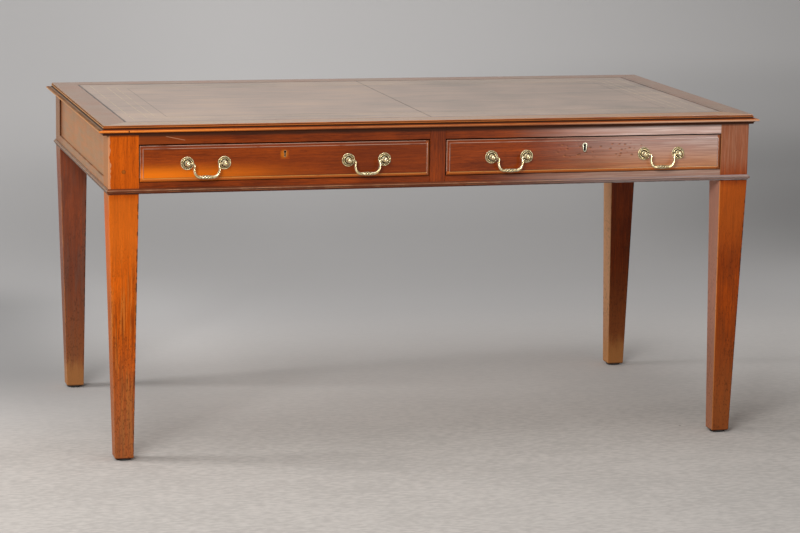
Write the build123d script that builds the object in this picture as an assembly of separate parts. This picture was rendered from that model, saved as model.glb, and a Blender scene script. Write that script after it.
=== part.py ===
"""A leather-topped writing table with two frieze drawers on four square tapered legs.

Millimetres, +Z up, +X to the sitter's right, the drawers on the -Y side.
The origin is on the floor under the middle of the table.
"""

import os

from build123d import *

os.makedirs("parts", exist_ok=True)

# Overall size
table_height = 765
frame_length = 1508
frame_depth = 837
end_overhang = 22
side_overhang = 10.5

# Table top: a mitred moulded border round a ground that carries two leather skins
top_thickness = 22
border_width = 57
leather_thickness = 1
leather_recess = 0.2
leather_seam = 0.6
tongue_thickness = 6
tongue_length = 8
glue_room = 0.3

# Moulded edge of the top, from the surface down, measured outwards from the top arris
edge_reach = 12.5
upper_fillet = 2.2
quirk_depth = 0.8
quirk_height = 0.8
small_bead_radius = 1.7
groove_height = 0.8
cove_start = 0.4
cove_sag = 2.2
edge_bead_radius = 2.5
edge_bead_drop = 10
edge_bead_step = 1.4
cavetto_radius = 7

# Legs
leg_block = 68
leg_outer_taper = 16.5
leg_inner_taper = 9.5
leg_arris = 1.2
foot_chamfer = 2
leg_turns = {(-1, -1): 0, (1, -1): 90, (1, 1): 180, (-1, 1): 270}
glide_thickness = 5
glide_radius = 18
glide_chamfer = 1
glide_sides = 16

# Frieze, under the top
frieze_height = 131
top_rail_thickness = 21.5
lower_rail_thickness = 25.5
rail_depth = 50
divider_width = 37
end_rail_thickness = 22
panel_recess = 4
panel_strip_height = 29
panel_groove = 1.6
tenon_thickness = 10
tenon_length = 30
stub_tenon_length = 10
tenon_shoulder = 5
front_arris = 0.7

# Bead moulding planted round the foot of the frieze
frieze_bead_height = 12
frieze_bead_reach = 5
frieze_bead_fillet = 2.4
frieze_bead_fillet_reach = 1.8

# Drawer fronts
drawer_gap_side = 1.8
drawer_gap_below = 1
drawer_gap_above = 2.2
front_thickness = 20
front_ovolo = 3.2
front_ovolo_width = 6.6
front_field_step = 0.8

# Drawer boxes
drawer_length = 600
drawer_running_gap = 0.3
side_thickness = 10
side_height = 80
lap_joint_length = 14
drawer_back_thickness = 9
drawer_back_drop = 6
bottom_thickness = 6
bottom_rise = 8
bottom_groove_depth = 5
slip_width = 8
slip_height = 16
slip_groove_depth = 4
panel_play = 0.3
tail_slope_share = 1 / 7
tail_width_share = 0.68
front_tails = 3
back_tails = 2

# Runners, kickers and stops
runner_ledge = 14
runner_thickness = 22
guide_height = 20
kicker_width = 30
centre_kicker_width = 60
stop_width = 30
stop_depth = 14
stop_height = 5
stop_spread = 150

# Turn-buttons and screws that hold the top down
button_length = 36
button_screw_inset = 14
button_width = 30
button_thickness = 16
button_tongue = 6
button_tongue_thickness = 6
button_spread_end = 150
button_spread_back_inner = 200
button_inset_back = 166
screw_radius = 2.1
screw_hole_play = 0.05
screw_grip = 12
screw_head_radius = 4.2
screw_head_height = 2.6
screw_dome_share = 0.6
screw_sides = 8
rail_screw_seat = 4
rail_screw_from_divider = 141.5
rail_screw_from_leg = 146

# Locks and keyholes
keyhole_below_top = 23.3
left_keyhole_offset = -4
right_keyhole_offset = -2.2
keyhole_radius = 2.6
keyhole_rise = 4.4
keyhole_slot_width = 2.6
keyhole_slot_drop = 6.6
keyhole_sides = 12
patch_width = 22
patch_height = 24
patch_thickness = 2.5
patch_drop = 1.5
escutcheon_radius = 6.3
escutcheon_foot_radius = 4.2
escutcheon_rise = 4.6
escutcheon_drop = 6.9
lock_width = 58
lock_height = 36
lock_depth = 11
lock_key_depth = 7
key_pin_radius = 1
bolt_width = 24
bolt_thickness = 5
bolt_height = 12
bolt_play = 0.1
bolt_below_edge = 0.2
bolt_throw = 7
bolt_mortise_play = 1
bolt_mortise_room = 3.4

# Swan-neck handles
handle_spread = 184
handle_centres = 84
handle_below_middle = 0.2
rosette_radius = 15
rosette_rim = 1
rosette_bevel = 0.8
rosette_rim_inner = 13.6
rosette_ring_radius = 10.4
rosette_ring_height = 2.6
rosette_boss_radius = 7.6
rosette_boss_height = 4.4
rosette_sides = 16
post_shank_radius = 3
post_shank_play = 0.1
post_neck_radius = 3.8
post_ball_radius = 6.2
ball_width_shares = (0.62, 0.94, 1, 1, 0.82, 0.45)
ball_height_shares = (-1, -0.55, -0.3, 0.3, 0.72, 1)
post_sides = 12
post_stand_off = 13
nut_radius = 7
nut_sides = 6
nut_thickness = 4
thread_end = 2
bail_wire_radius = 2.3
bail_sides = 8
bail_steps = 12
bail_pin_length = 4
bail_pin_play = 0.08
bail_pin_end_room = 0.4
bail_waist = 26.5
bail_neck_radius = 4.5
bail_belly = 29
bail_belly_drop = 13
bail_belly_radius = 14
bail_foot = 24.5
bail_foot_radius = 13.5
bail_drop = 30
grip_half_length = 16
grip_end_radius = 3
grip_radius = 4.3
grip_collar_radius = 4.6
grip_collar_inset = 4
grip_collar_width = 2

cut_over = 1

# Heights and faces that follow from the sizes above
half_length = frame_length / 2
half_depth = frame_depth / 2
surface_z = table_height
frieze_top = table_height - top_thickness
frieze_bottom = frieze_top - frieze_height
opening_top = frieze_top - top_rail_thickness
opening_bottom = frieze_bottom + lower_rail_thickness
block_inner_x = half_length - leg_block
block_inner_y = half_depth - leg_block
divider_half = divider_width / 2
rail_back_y = rail_depth - half_depth
end_rail_inner_x = half_length - end_rail_thickness
back_rail_inner_y = half_depth - end_rail_thickness
arris_x = half_length + end_overhang - edge_reach
arris_y = half_depth + side_overhang - edge_reach
ground_x = arris_x - border_width
ground_y = arris_y - border_width
ground_top = surface_z - leather_recess - leather_thickness

drawer_centre = (block_inner_x + divider_half) / 2
drawer_width = block_inner_x - divider_half - 2 * drawer_gap_side
front_bottom = opening_bottom + drawer_gap_below
front_top = opening_top - drawer_gap_above
handle_height = (front_bottom + front_top) / 2 - handle_below_middle
keyhole_height = front_top - keyhole_below_top
front_face_y = -half_depth
front_back_y = front_face_y + front_thickness
field_y = front_face_y - front_ovolo - front_field_step
side_bottom = opening_bottom + drawer_running_gap
side_top = side_bottom + side_height
bottom_z = side_bottom + bottom_rise
back_board_bottom = bottom_z + bottom_thickness
back_board_top = side_top - drawer_back_drop
drawer_end_y = front_back_y + drawer_length
back_board_y = drawer_end_y - drawer_back_thickness
post_axis_y = field_y - post_stand_off
ground_middle_z = (ground_top + frieze_top) / 2
keyhole_offsets = {-1: left_keyhole_offset, 1: right_keyhole_offset}


def block(x0, x1, y0, y1, z0, z1):
    """A rectangular piece between two corners, given in any order."""
    centre = Pos((x0 + x1) / 2, (y0 + y1) / 2, (z0 + z1) / 2)
    return centre * Box(abs(x1 - x0), abs(y1 - y0), abs(z1 - z0))


def faceted(rings):
    """A closed solid through rings of corners, with flat faces from ring to ring."""
    faces = [Face(Wire.make_polygon(ring)) for ring in (rings[0], rings[-1])]
    for lower, upper in zip(rings, rings[1:]):
        for a, b, c, d in zip(lower, lower[1:] + lower[:1], upper[1:] + upper[:1], upper):
            faces.append(Face(Wire.make_polygon([a, b, c])))
            faces.append(Face(Wire.make_polygon([a, c, d])))
    return Solid(Shell(faces)).clean()


def ring(plane, radius, sides):
    """The corners of a regular polygon on a plane, one of them on the plane's own X."""
    spoke = Vector(radius, 0, 0)
    return [
        plane.from_local_coords(spoke.rotate(Axis.Z, 360 * index / sides)) for index in range(sides)
    ]


def turned(profile, sides):
    """A small turned piece about +Z, from radii and rising heights, cut in flat sides."""
    return faceted([ring(Plane.XY.offset(height), radius, sides) for radius, height in profile])


def mitred_side(section, across, along, inner, outer):
    """The -Y side of a mitred surround: a section, drawn outwards and up, run along X.

    The mitres pass through the corners at (along, -across) and (-along, -across).
    """
    end_plane = Plane(origin=(0, -across, 0), x_dir=(0, -1, 0), z_dir=(-1, 0, 0))
    bar = extrude(end_plane * section, amount=along + outer, both=True)
    corners = [
        (along + outer, -across - outer),
        (along - inner, -across + inner),
        (inner - along, -across + inner),
        (-along - outer, -across - outer),
    ]
    outline = make_face(Polyline(*corners, close=True))
    return bar & extrude(outline, amount=table_height + cut_over, both=True)


def four_sides(section, half_x, half_y, inner, outer):
    """The front, back, left and right pieces of a mitred surround."""
    long_side = mitred_side(section, half_y, half_x, inner, outer)
    short_side = mitred_side(section, half_x, half_y, inner, outer)
    return {
        "front": long_side,
        "back": Rot(0, 0, 180) * long_side,
        "left": Rot(0, 0, -90) * short_side,
        "right": Rot(0, 0, 90) * short_side,
    }


# Table top


def border_section():
    """Section of the top border: moulded outer edge, grooved inner edge."""
    bead_top = surface_z - edge_bead_drop
    quirk_z = surface_z - upper_fillet
    bead_z = quirk_z - quirk_height
    groove_z = bead_z - 2 * small_bead_radius
    cove_z = groove_z - groove_height
    bead_x = edge_reach - edge_bead_radius
    foot_x = bead_x - edge_bead_step - cavetto_radius
    underside = surface_z - top_thickness
    sag_x = (cove_start + bead_x) / 2 - cove_sag / 2
    sag_z = (cove_z + bead_top) / 2 - cove_sag / 2
    cavetto_z = underside + cavetto_radius
    outline = [
        Line((0, surface_z), (0, quirk_z)),
        Line((0, quirk_z), (-quirk_depth, quirk_z)),
        Line((-quirk_depth, quirk_z), (-quirk_depth, bead_z)),
        Line((-quirk_depth, bead_z), (0, bead_z)),
        ThreePointArc((0, bead_z), (small_bead_radius, bead_z - small_bead_radius), (0, groove_z)),
        Line((0, groove_z), (-quirk_depth, groove_z)),
        Line((-quirk_depth, groove_z), (-quirk_depth, cove_z)),
        Line((-quirk_depth, cove_z), (cove_start, cove_z)),
        ThreePointArc((cove_start, cove_z), (sag_x, sag_z), (bead_x, bead_top)),
        ThreePointArc(
            (bead_x, bead_top),
            (edge_reach, bead_top - edge_bead_radius),
            (bead_x, bead_top - 2 * edge_bead_radius),
        ),
        Line((bead_x, bead_top - 2 * edge_bead_radius), (bead_x - edge_bead_step, cavetto_z)),
        CenterArc((bead_x - edge_bead_step, underside), cavetto_radius, 90, 90),
        Line((foot_x, underside), (-border_width, underside)),
        Line((-border_width, underside), (-border_width, surface_z)),
        Line((-border_width, surface_z), (0, surface_z)),
    ]
    groove_depth = tongue_length + glue_room
    groove = Pos(-border_width + groove_depth / 2, ground_middle_z) * Rectangle(
        groove_depth, tongue_thickness
    )
    return make_face(outline) - groove


def top_ground():
    """The panel under the leather, with a tongue all round that enters the border."""
    panel = block(-ground_x, ground_x, -ground_y, ground_y, frieze_top, ground_top)
    reach_x = ground_x + tongue_length
    reach_y = ground_y + tongue_length
    tongue_low = ground_middle_z - tongue_thickness / 2
    tongue_high = ground_middle_z + tongue_thickness / 2
    tongue = block(-reach_x, reach_x, -reach_y, reach_y, tongue_low, tongue_high)
    return panel + tongue


def leather(side):
    """One of the two leather skins, which meet at a seam in the middle."""
    lower = ground_top
    upper = ground_top + leather_thickness
    return block(side * leather_seam / 2, side * ground_x, -ground_y, ground_y, lower, upper)


# Legs and glides


def leg_centre(side, face, taper_outer, size):
    """Centre of a leg's square section, set in from the outer faces."""
    inset = taper_outer + size / 2
    return side * (half_length - inset), face * (half_depth - inset)


def leg_foot_size():
    return leg_block - leg_outer_taper - leg_inner_taper


def leg_shaft():
    """The tapered shaft, drawn from the leg's outer corner, with its arrises taken off."""
    outline = Polyline(
        (leg_outer_taper, glide_thickness),
        (leg_block - leg_inner_taper, glide_thickness),
        (leg_block, frieze_bottom),
        (0, frieze_bottom),
        close=True,
    )
    profile = make_face(outline)
    seen_from_front = extrude(Plane.XZ * profile, amount=-leg_block)
    seen_from_side = extrude(Plane.YZ * profile, amount=leg_block)
    shaft = seen_from_front & seen_from_side
    shaft = chamfer(shaft.edges().sort_by(SortBy.LENGTH)[-4:], leg_arris)
    return chamfer(shaft.faces().sort_by(Axis.Z)[0].edges(), foot_chamfer)


def leg(side, face):
    """A leg: the square block in the frieze and the tapered shaft under it."""
    corner = Pos(side * half_length, face * half_depth, 0) * Rot(0, 0, leg_turns[side, face])
    stile = block(0, leg_block, 0, leg_block, frieze_bottom, frieze_top)
    outer_arris = stile.edges().filter_by(Axis.Z).sort_by_distance((0, 0, frieze_bottom))[0]
    piece = leg_shaft() + chamfer(outer_arris, leg_arris)
    return corner * piece - leg_mortises(side, face)


def leg_glides():
    """The four black glides under the feet."""
    glides = []
    for side in (-1, 1):
        for face in (-1, 1):
            x, y = leg_centre(side, face, leg_outer_taper, leg_foot_size())
            profile = [
                (glide_radius - glide_chamfer, 0),
                (glide_radius, glide_chamfer),
                (glide_radius, glide_thickness),
            ]
            glides.append(Pos(x, y, 0) * turned(profile, glide_sides))
    return Compound(glides)


# Frieze


def tenon_heights(low, high):
    """A tenon's lowest and highest points in a member between two heights."""
    return low + tenon_shoulder, high - tenon_shoulder


def front_rail_tenons(side, low, high):
    """The tenons of one front rail: a long one into the leg, a stub into the divider."""
    z0, z1 = tenon_heights(low, high)
    y0 = front_face_y + tenon_thickness
    y1 = y0 + tenon_thickness
    outer = block(
        side * block_inner_x, side * (block_inner_x + tenon_length), y0, y1, z0, z1
    )
    inner = block(
        side * divider_half, side * (divider_half - stub_tenon_length), y0, y1, z0, z1
    )
    return outer, inner


def eased(member):
    """A front member with the arrises of its face taken off, so that its joints show as lines."""
    return chamfer(member.faces().sort_by(Axis.Y)[0].edges(), front_arris)


def front_rail(side, low, high):
    """A front rail between a leg and the divider, over or under a drawer."""
    rail = block(
        side * divider_half, side * block_inner_x, front_face_y, rail_back_y, low, high
    )
    outer, inner = front_rail_tenons(side, low, high)
    return eased(rail) + outer + inner


def top_rail(side):
    """The front rail over a drawer, with the lock's mortise and two sunk screw holes."""
    rail = front_rail(side, opening_top, frieze_top) - bolt_mortise(side)
    hole = screw_hole(opening_top - cut_over, frieze_top + cut_over)
    seat = opening_top + rail_screw_seat
    sunk_radius = screw_head_radius + glue_room
    sunk = turned([(sunk_radius, opening_top - cut_over), (sunk_radius, seat)], screw_sides)
    return rail - placed(hole, rail_screw_places()) - placed(sunk, rail_screw_places())


def bolt_mortise(side):
    """The slot over a drawer's lock that takes the shot bolt."""
    x = side * drawer_centre + keyhole_offsets[side]
    half_width = bolt_width / 2 + bolt_mortise_play
    y = bolt_y()
    half_thickness = bolt_thickness / 2 + bolt_mortise_play
    return block(
        x - half_width, x + half_width,
        y - half_thickness, y + half_thickness,
        opening_top - cut_over, front_top - bolt_below_edge + bolt_throw + bolt_mortise_room,
    )


def drawer_divider():
    """The upright between the drawers, full height of the frieze."""
    post = eased(
        block(-divider_half, divider_half, front_face_y, rail_back_y, frieze_bottom, frieze_top)
    )
    for side in (-1, 1):
        for low, high in ((frieze_bottom, opening_bottom), (opening_top, frieze_top)):
            post = post - front_rail_tenons(side, low, high)[1]
    return post


def panel_section():
    """Section of the end and back rails: a recessed face over a strip flush with the legs.

    It is drawn outwards from the legs' outer faces, with a sunk line along the strip's top.
    """
    strip_top = frieze_bottom + panel_strip_height
    points = [
        (0, frieze_bottom),
        (0, strip_top - panel_groove),
        (-panel_groove, strip_top),
        (-panel_recess, strip_top),
        (-panel_recess, frieze_top),
        (-end_rail_thickness, frieze_top),
        (-end_rail_thickness, frieze_bottom),
    ]
    button_groove = Pos(
        -end_rail_thickness + (button_tongue + glue_room) / 2, button_tongue_z()
    ) * Rectangle(button_tongue + glue_room, button_tongue_thickness)
    return make_face(Polyline(*points, close=True)) - button_groove


def panel_rail(across, along):
    """A rail on the -Y side at a distance across, between faces at -along and along."""
    end_plane = Plane(origin=(0, -across, 0), x_dir=(0, -1, 0), z_dir=(-1, 0, 0))
    rail = extrude(end_plane * panel_section(), amount=along, both=True)
    return rail + panel_tenon(across, along, 1) + panel_tenon(across, along, -1)


def panel_tenon(across, along, end):
    """The tenon at one end of such a rail."""
    z0, z1 = tenon_heights(frieze_bottom, frieze_top)
    y0 = tenon_thickness - across
    return block(end * along, end * (along + tenon_length), y0, y0 + tenon_thickness, z0, z1)


def end_rail(side):
    return Rot(0, 0, 90 * side) * panel_rail(half_length, block_inner_y)


def back_rail():
    return Rot(0, 0, 180) * panel_rail(half_depth, block_inner_x)


def leg_mortises(side, face):
    """Everything that is let into one leg."""
    end_tenon = Rot(0, 0, 90 * side) * panel_tenon(half_length, block_inner_y, side * face)
    mortises = [end_tenon]
    if face > 0:
        mortises.append(Rot(0, 0, 180) * panel_tenon(half_depth, block_inner_x, -side))
    else:
        for low, high in ((frieze_bottom, opening_bottom), (opening_top, frieze_top)):
            mortises.append(front_rail_tenons(side, low, high)[0])
    return mortises


def frieze_bead_section():
    """Section of the moulding round the foot of the frieze: a bead between two fillets."""
    top = frieze_bottom + frieze_bead_height
    upper = top - frieze_bead_fillet
    lower = frieze_bottom + frieze_bead_fillet
    middle = (upper + lower) / 2
    step = frieze_bead_fillet_reach
    outline = [
        Line((0, frieze_bottom), (step, frieze_bottom)),
        Line((step, frieze_bottom), (step, lower)),
        ThreePointArc((step, lower), (frieze_bead_reach, middle), (step, upper)),
        Line((step, upper), (step, top)),
        Line((step, top), (0, top)),
        Line((0, top), (0, frieze_bottom)),
    ]
    return make_face(outline)


# Runners, kickers and stops


def runner(side):
    """An end runner: a ledge for the drawer's side and a guide that fills out the block."""
    foot_z = opening_bottom - runner_thickness
    wide = block(
        side * block_inner_x, side * end_rail_inner_x,
        -block_inner_y, block_inner_y,
        foot_z, opening_bottom + guide_height,
    )
    ledge = block(
        side * (block_inner_x - runner_ledge), side * block_inner_x,
        rail_back_y, back_rail_inner_y,
        foot_z, opening_bottom,
    )
    return wide + ledge


def centre_runner():
    """The middle runner: a ledge each side and a guide between the drawers."""
    reach = divider_half + runner_ledge
    foot_z = opening_bottom - runner_thickness
    base = block(-reach, reach, rail_back_y, back_rail_inner_y, foot_z, opening_bottom)
    guide = block(
        -divider_half, divider_half, rail_back_y, back_rail_inner_y,
        opening_bottom, opening_bottom + guide_height,
    )
    return base + guide


def kickers():
    """The bars over the drawer sides that stop an open drawer from tipping."""
    bars = [
        block(
            -centre_kicker_width / 2, centre_kicker_width / 2,
            rail_back_y, back_rail_inner_y, opening_top, frieze_top,
        )
    ]
    for side in (-1, 1):
        bars.append(
            block(
                side * (block_inner_x - kicker_width), side * block_inner_x,
                rail_back_y, back_rail_inner_y, opening_top, frieze_top,
            )
        )
    return Compound(bars)


def drawer_stops():
    """Two small blocks behind each drawer front, on the lower rail."""
    stops = []
    y0 = front_back_y + drawer_running_gap
    for side in (-1, 1):
        for place in (-stop_spread, stop_spread):
            x = side * drawer_centre + place
            stops.append(
                block(
                    x - stop_width / 2, x + stop_width / 2,
                    y0, y0 + stop_depth,
                    opening_bottom, opening_bottom + stop_height,
                )
            )
    return Compound(stops)


# Turn-buttons and screws


def button_tongue_z():
    """Height of the middle of the turn-buttons' tongues."""
    return frieze_top - button_thickness + button_tongue_thickness / 2


def button_places():
    """Places and turns of the buttons: (x, y, turn), with the tongue towards local -Y."""
    places = []
    for side in (-1, 1):
        for y in (-button_spread_end, button_spread_end):
            places.append((side * end_rail_inner_x, y, 90 * side))
    for x in (button_spread_back_inner, block_inner_x - button_inset_back):
        for side in (-1, 1):
            places.append((side * x, back_rail_inner_y, 180))
    return places


def screw_hole(low, high):
    """A clearance hole for a screw's shank, drawn about +Z."""
    radius = screw_radius + screw_hole_play
    return turned([(radius, low), (radius, high)], screw_sides)


def turn_button():
    """A wooden button whose tongue sits in a rail's groove."""
    low = frieze_top - button_thickness
    body = block(-button_width / 2, button_width / 2, 0, button_length, low, frieze_top)
    tongue = block(
        -button_width / 2, button_width / 2, -button_tongue, 0,
        low, low + button_tongue_thickness,
    )
    hole = screw_hole(low - cut_over, frieze_top + cut_over)
    return body + tongue - Pos(0, button_screw_inset, 0) * hole


def turn_buttons():
    button = turn_button()
    return Compound([Pos(x, y, 0) * Rot(0, 0, turn) * button for x, y, turn in button_places()])


def screw(seat_z):
    """A screw driven up into the top, its domed head under a seat at a given height."""
    profile = [
        (screw_head_radius * screw_dome_share, seat_z - screw_head_height),
        (screw_head_radius, seat_z),
        (screw_radius, seat_z),
        (screw_radius, frieze_top + screw_grip),
    ]
    return turned(profile, screw_sides)


def rail_screw_places():
    """Places of the screws that pass up through the front top rails."""
    y = (front_face_y + rail_back_y) / 2
    spreads = (divider_half + rail_screw_from_divider, block_inner_x - rail_screw_from_leg)
    return [(side * x, y) for side in (-1, 1) for x in spreads]


def button_screw_places():
    """Places of the screws through the buttons."""
    places = []
    for x, y, turn in button_places():
        spot = Pos(x, y, 0) * Rot(0, 0, turn) * Pos(0, button_screw_inset, 0)
        places.append((spot.position.X, spot.position.Y))
    return places


def top_screws():
    """The screws that pass up into the top, through the buttons and the front top rails."""
    button_screw = screw(frieze_top - button_thickness)
    rail_screw = screw(opening_top + rail_screw_seat)
    return Compound(placed(button_screw, button_screw_places()) + placed(rail_screw, rail_screw_places()))


def placed(piece, places):
    """Copies of a piece at a list of (x, y) places."""
    return [Pos(x, y, 0) * piece for x, y in places]


# Drawers


def keyhole(x, y0, y1):
    """A keyhole through what lies between two depths."""
    eye = Pos(0, keyhole_rise) * RegularPolygon(keyhole_radius, keyhole_sides)
    slot_middle = (keyhole_rise - keyhole_slot_drop) / 2
    slot = Pos(0, slot_middle) * Rectangle(keyhole_slot_width, keyhole_rise + keyhole_slot_drop)
    plane = Plane(origin=(x, y0, keyhole_height), x_dir=(-1, 0, 0), z_dir=(0, 1, 0))
    return extrude(plane * (eye + slot), amount=y1 - y0)


def lock_x(side):
    return side * drawer_centre + keyhole_offsets[side]


def bolt_y():
    """Depth of the middle of the lock bolts, in the middle of the lock cases."""
    return front_back_y - lock_depth / 2


def keyhole_patch(x):
    """A small block of wood let in round the left keyhole."""
    plate = block(
        x - patch_width / 2, x + patch_width / 2,
        field_y, field_y + patch_thickness,
        keyhole_height - patch_drop - patch_height / 2,
        keyhole_height - patch_drop + patch_height / 2,
    )
    return plate


def escutcheon(x):
    """A brass plate let in round the right keyhole: a round head over a narrower foot."""
    head = Pos(0, escutcheon_rise) * RegularPolygon(escutcheon_radius, keyhole_sides * 2)
    foot = Pos(0, -escutcheon_drop) * RegularPolygon(escutcheon_foot_radius, keyhole_sides * 2)
    outline = make_hull(head.edges() + foot.edges())
    plane = Plane(origin=(x, field_y, keyhole_height), x_dir=(-1, 0, 0), z_dir=(0, 1, 0))
    return extrude(plane * outline, amount=patch_thickness)


def keyhole_surround(side):
    """What is let in round a drawer's keyhole, not yet pierced."""
    return keyhole_patch(lock_x(side)) if side < 0 else escutcheon(lock_x(side))


def tails(x0, x1, root_y, tip_y, low, high, count):
    """Dovetail tails across a thickness, narrow at the root and wide at the tip."""
    pitch = (high - low) / count
    wide = pitch * tail_width_share / 2
    narrow = wide - abs(tip_y - root_y) * tail_slope_share
    pieces = []
    for index in range(count):
        z = low + pitch * (index + 0.5)
        outline = Polyline(
            (root_y, z - narrow), (tip_y, z - wide), (tip_y, z + wide), (root_y, z + narrow),
            close=True,
        )
        plane = Plane(origin=(min(x0, x1), 0, 0), x_dir=(0, 1, 0), z_dir=(1, 0, 0))
        pieces.append(extrude(plane * make_face(outline), amount=abs(x1 - x0)))
    return pieces


def side_faces(side, hand):
    """The outer and inner faces of a drawer's left or right side."""
    outer = side * drawer_centre + hand * drawer_width / 2
    return outer, outer - hand * side_thickness


def front_joint(side, hand):
    """The tails that lock a drawer side into the back of the front."""
    outer, inner = side_faces(side, hand)
    root = front_back_y
    tip = front_back_y - lap_joint_length
    return tails(outer, inner, root, tip, side_bottom + drawer_gap_below, side_top, front_tails)


def back_pins(side, hand):
    """The end of a drawer back that shows through the side, between the side's tails."""
    outer, inner = side_faces(side, hand)
    end = block(outer, inner, back_board_y, drawer_end_y, back_board_bottom, back_board_top)
    for tail in tails(
        outer, inner, back_board_y, drawer_end_y, back_board_bottom, back_board_top, back_tails
    ):
        end = end - tail
    return end


def drawer_side(side, hand):
    """A drawer side, dovetailed to the front and the back."""
    outer, inner = side_faces(side, hand)
    board = block(outer, inner, front_back_y, drawer_end_y, side_bottom, side_top)
    for tail in front_joint(side, hand):
        board = board + tail
    return board - back_pins(side, hand)


def drawer_back(side):
    """The drawer back, which stands on the bottom and ends in dovetail pins."""
    left = side_faces(side, -1)[1]
    right = side_faces(side, 1)[1]
    board = block(left, right, back_board_y, drawer_end_y, back_board_bottom, back_board_top)
    return board + back_pins(side, -1) + back_pins(side, 1)


def drawer_slips(side):
    """Grooved strips along the foot of the sides that carry the bottom."""
    strips = []
    for hand in (-1, 1):
        face = side_faces(side, hand)[1]
        inner = face - hand * slip_width
        strip = block(face, inner, front_back_y, back_board_y, side_bottom, side_bottom + slip_height)
        groove = block(
            inner - hand * cut_over, inner + hand * slip_groove_depth,
            front_back_y - cut_over, back_board_y + cut_over,
            bottom_z, bottom_z + bottom_thickness,
        )
        strips.append(strip - groove)
    return Compound(strips)


def drawer_bottom(side):
    """The bottom board, in the front's groove and the slips' grooves, under the back."""
    centre = side * drawer_centre
    half = drawer_width / 2 - side_thickness - slip_width + slip_groove_depth - panel_play
    between = half - slip_groove_depth + panel_play
    front_edge = front_back_y - bottom_groove_depth + panel_play
    board = block(
        centre - half, centre + half, front_back_y, back_board_y,
        bottom_z, bottom_z + bottom_thickness,
    )
    tongue = block(
        centre - between, centre + between, front_edge, drawer_end_y,
        bottom_z, bottom_z + bottom_thickness,
    )
    return board + tongue


def handle_posts_x(side):
    """Places along X of a drawer's four handle posts."""
    places = []
    for spread in (-handle_spread, handle_spread):
        for end in (-1, 1):
            places.append(side * drawer_centre + spread + end * handle_centres / 2)
    return places


def front_lip():
    """The moulded edge of a drawer front, lying flat round the middle: ovolo on four sides."""
    section = make_face(
        [
            Line((0, 0), (-front_ovolo_width, 0)),
            Line((-front_ovolo_width, 0), (-front_ovolo_width, front_ovolo)),
            TangentArc((-front_ovolo_width, front_ovolo), (0, 0), tangent=(1, 0)),
        ]
    )
    half_high = (front_top - front_bottom) / 2
    return four_sides(section, drawer_width / 2, half_high, front_ovolo_width, front_ovolo)


def lock_case_block(side):
    """The space that a lock takes up in the back of its drawer front."""
    x = lock_x(side)
    return block(
        x - lock_width / 2, x + lock_width / 2,
        front_back_y - lock_depth, front_back_y,
        front_top - lock_height, front_top,
    )


def drawer_front(side):
    """A drawer front with a moulded edge, pierced for the handles and the key."""
    centre = side * drawer_centre
    x0 = centre - drawer_width / 2
    x1 = centre + drawer_width / 2
    board = block(x0, x1, front_face_y, front_back_y, front_bottom, front_top)
    lay = Pos(centre, front_face_y, (front_bottom + front_top) / 2) * Rot(90, 0, 0)
    for strip in front_lip().values():
        board = board + lay * strip
    board = board + block(
        x0 + front_ovolo_width, x1 - front_ovolo_width,
        field_y, front_face_y,
        front_bottom + front_ovolo_width, front_top - front_ovolo_width,
    )
    for hand in (-1, 1):
        board = board - front_joint(side, hand)
    half_groove = drawer_width / 2 - side_thickness - slip_width + panel_play
    board = board - block(
        centre - half_groove, centre + half_groove,
        front_back_y - bottom_groove_depth, front_back_y + cut_over,
        bottom_z, bottom_z + bottom_thickness,
    )
    board = board - lock_case_block(side) - keyhole_surround(side)
    board = board - keyhole(lock_x(side), field_y - cut_over, front_back_y)
    hole = post_hole()
    return board - [on_front(x, hole) for x in handle_posts_x(side)]


def post_hole():
    """The hole for a post's shank through a drawer front, as drawn about the post."""
    radius = post_shank_radius + post_shank_play
    depth = front_back_y - field_y + cut_over
    return turned([(radius, -depth), (radius, cut_over)], post_sides)


# Locks


def lock_bolt(side):
    """The flat bolt that a key would throw up into the rail."""
    x = lock_x(side)
    y = bolt_y()
    top = front_top - bolt_below_edge
    return block(
        x - bolt_width / 2, x + bolt_width / 2,
        y - bolt_thickness / 2, y + bolt_thickness / 2,
        top - bolt_height, top,
    )


def lock_case(side):
    """A brass lock case with a slot for the bolt and a round well for the key."""
    x = lock_x(side)
    y = bolt_y()
    case_face = front_back_y - lock_depth
    floor = front_top - bolt_below_edge - bolt_height - bolt_play
    half_width = bolt_width / 2 + bolt_play
    half_thickness = bolt_thickness / 2 + bolt_play
    slot = block(
        x - half_width, x + half_width, y - half_thickness, y + half_thickness,
        floor, front_top + cut_over,
    )
    case = lock_case_block(side) - slot
    case = case - keyhole(x, case_face - cut_over, case_face + lock_key_depth)
    pin_plane = Plane(
        origin=(x, case_face + lock_key_depth, keyhole_height + keyhole_rise),
        x_dir=(1, 0, 0), z_dir=(0, -1, 0),
    )
    return case + extrude(pin_plane * Circle(key_pin_radius), amount=lock_key_depth)


# Handles


def on_front(x, piece):
    """Stand a turned piece, drawn about +Z, on a drawer's field at handle height."""
    return Pos(x, field_y, handle_height) * Rot(90, 0, 0) * piece


def rosette():
    """A turned back plate that rises in rings to a boss round the post."""
    bore = post_neck_radius + post_shank_play
    profile = [
        (rosette_radius, 0),
        (rosette_radius, rosette_rim),
        (rosette_rim_inner, rosette_rim + rosette_bevel),
        (rosette_ring_radius, rosette_rim + rosette_bevel),
        (rosette_ring_radius, rosette_ring_height),
        (rosette_boss_radius, rosette_ring_height + rosette_bevel),
        (rosette_boss_radius, rosette_boss_height),
    ]
    hole = turned([(bore, -cut_over), (bore, rosette_boss_height + cut_over)], post_sides)
    return turned(profile, rosette_sides) - hole


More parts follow.
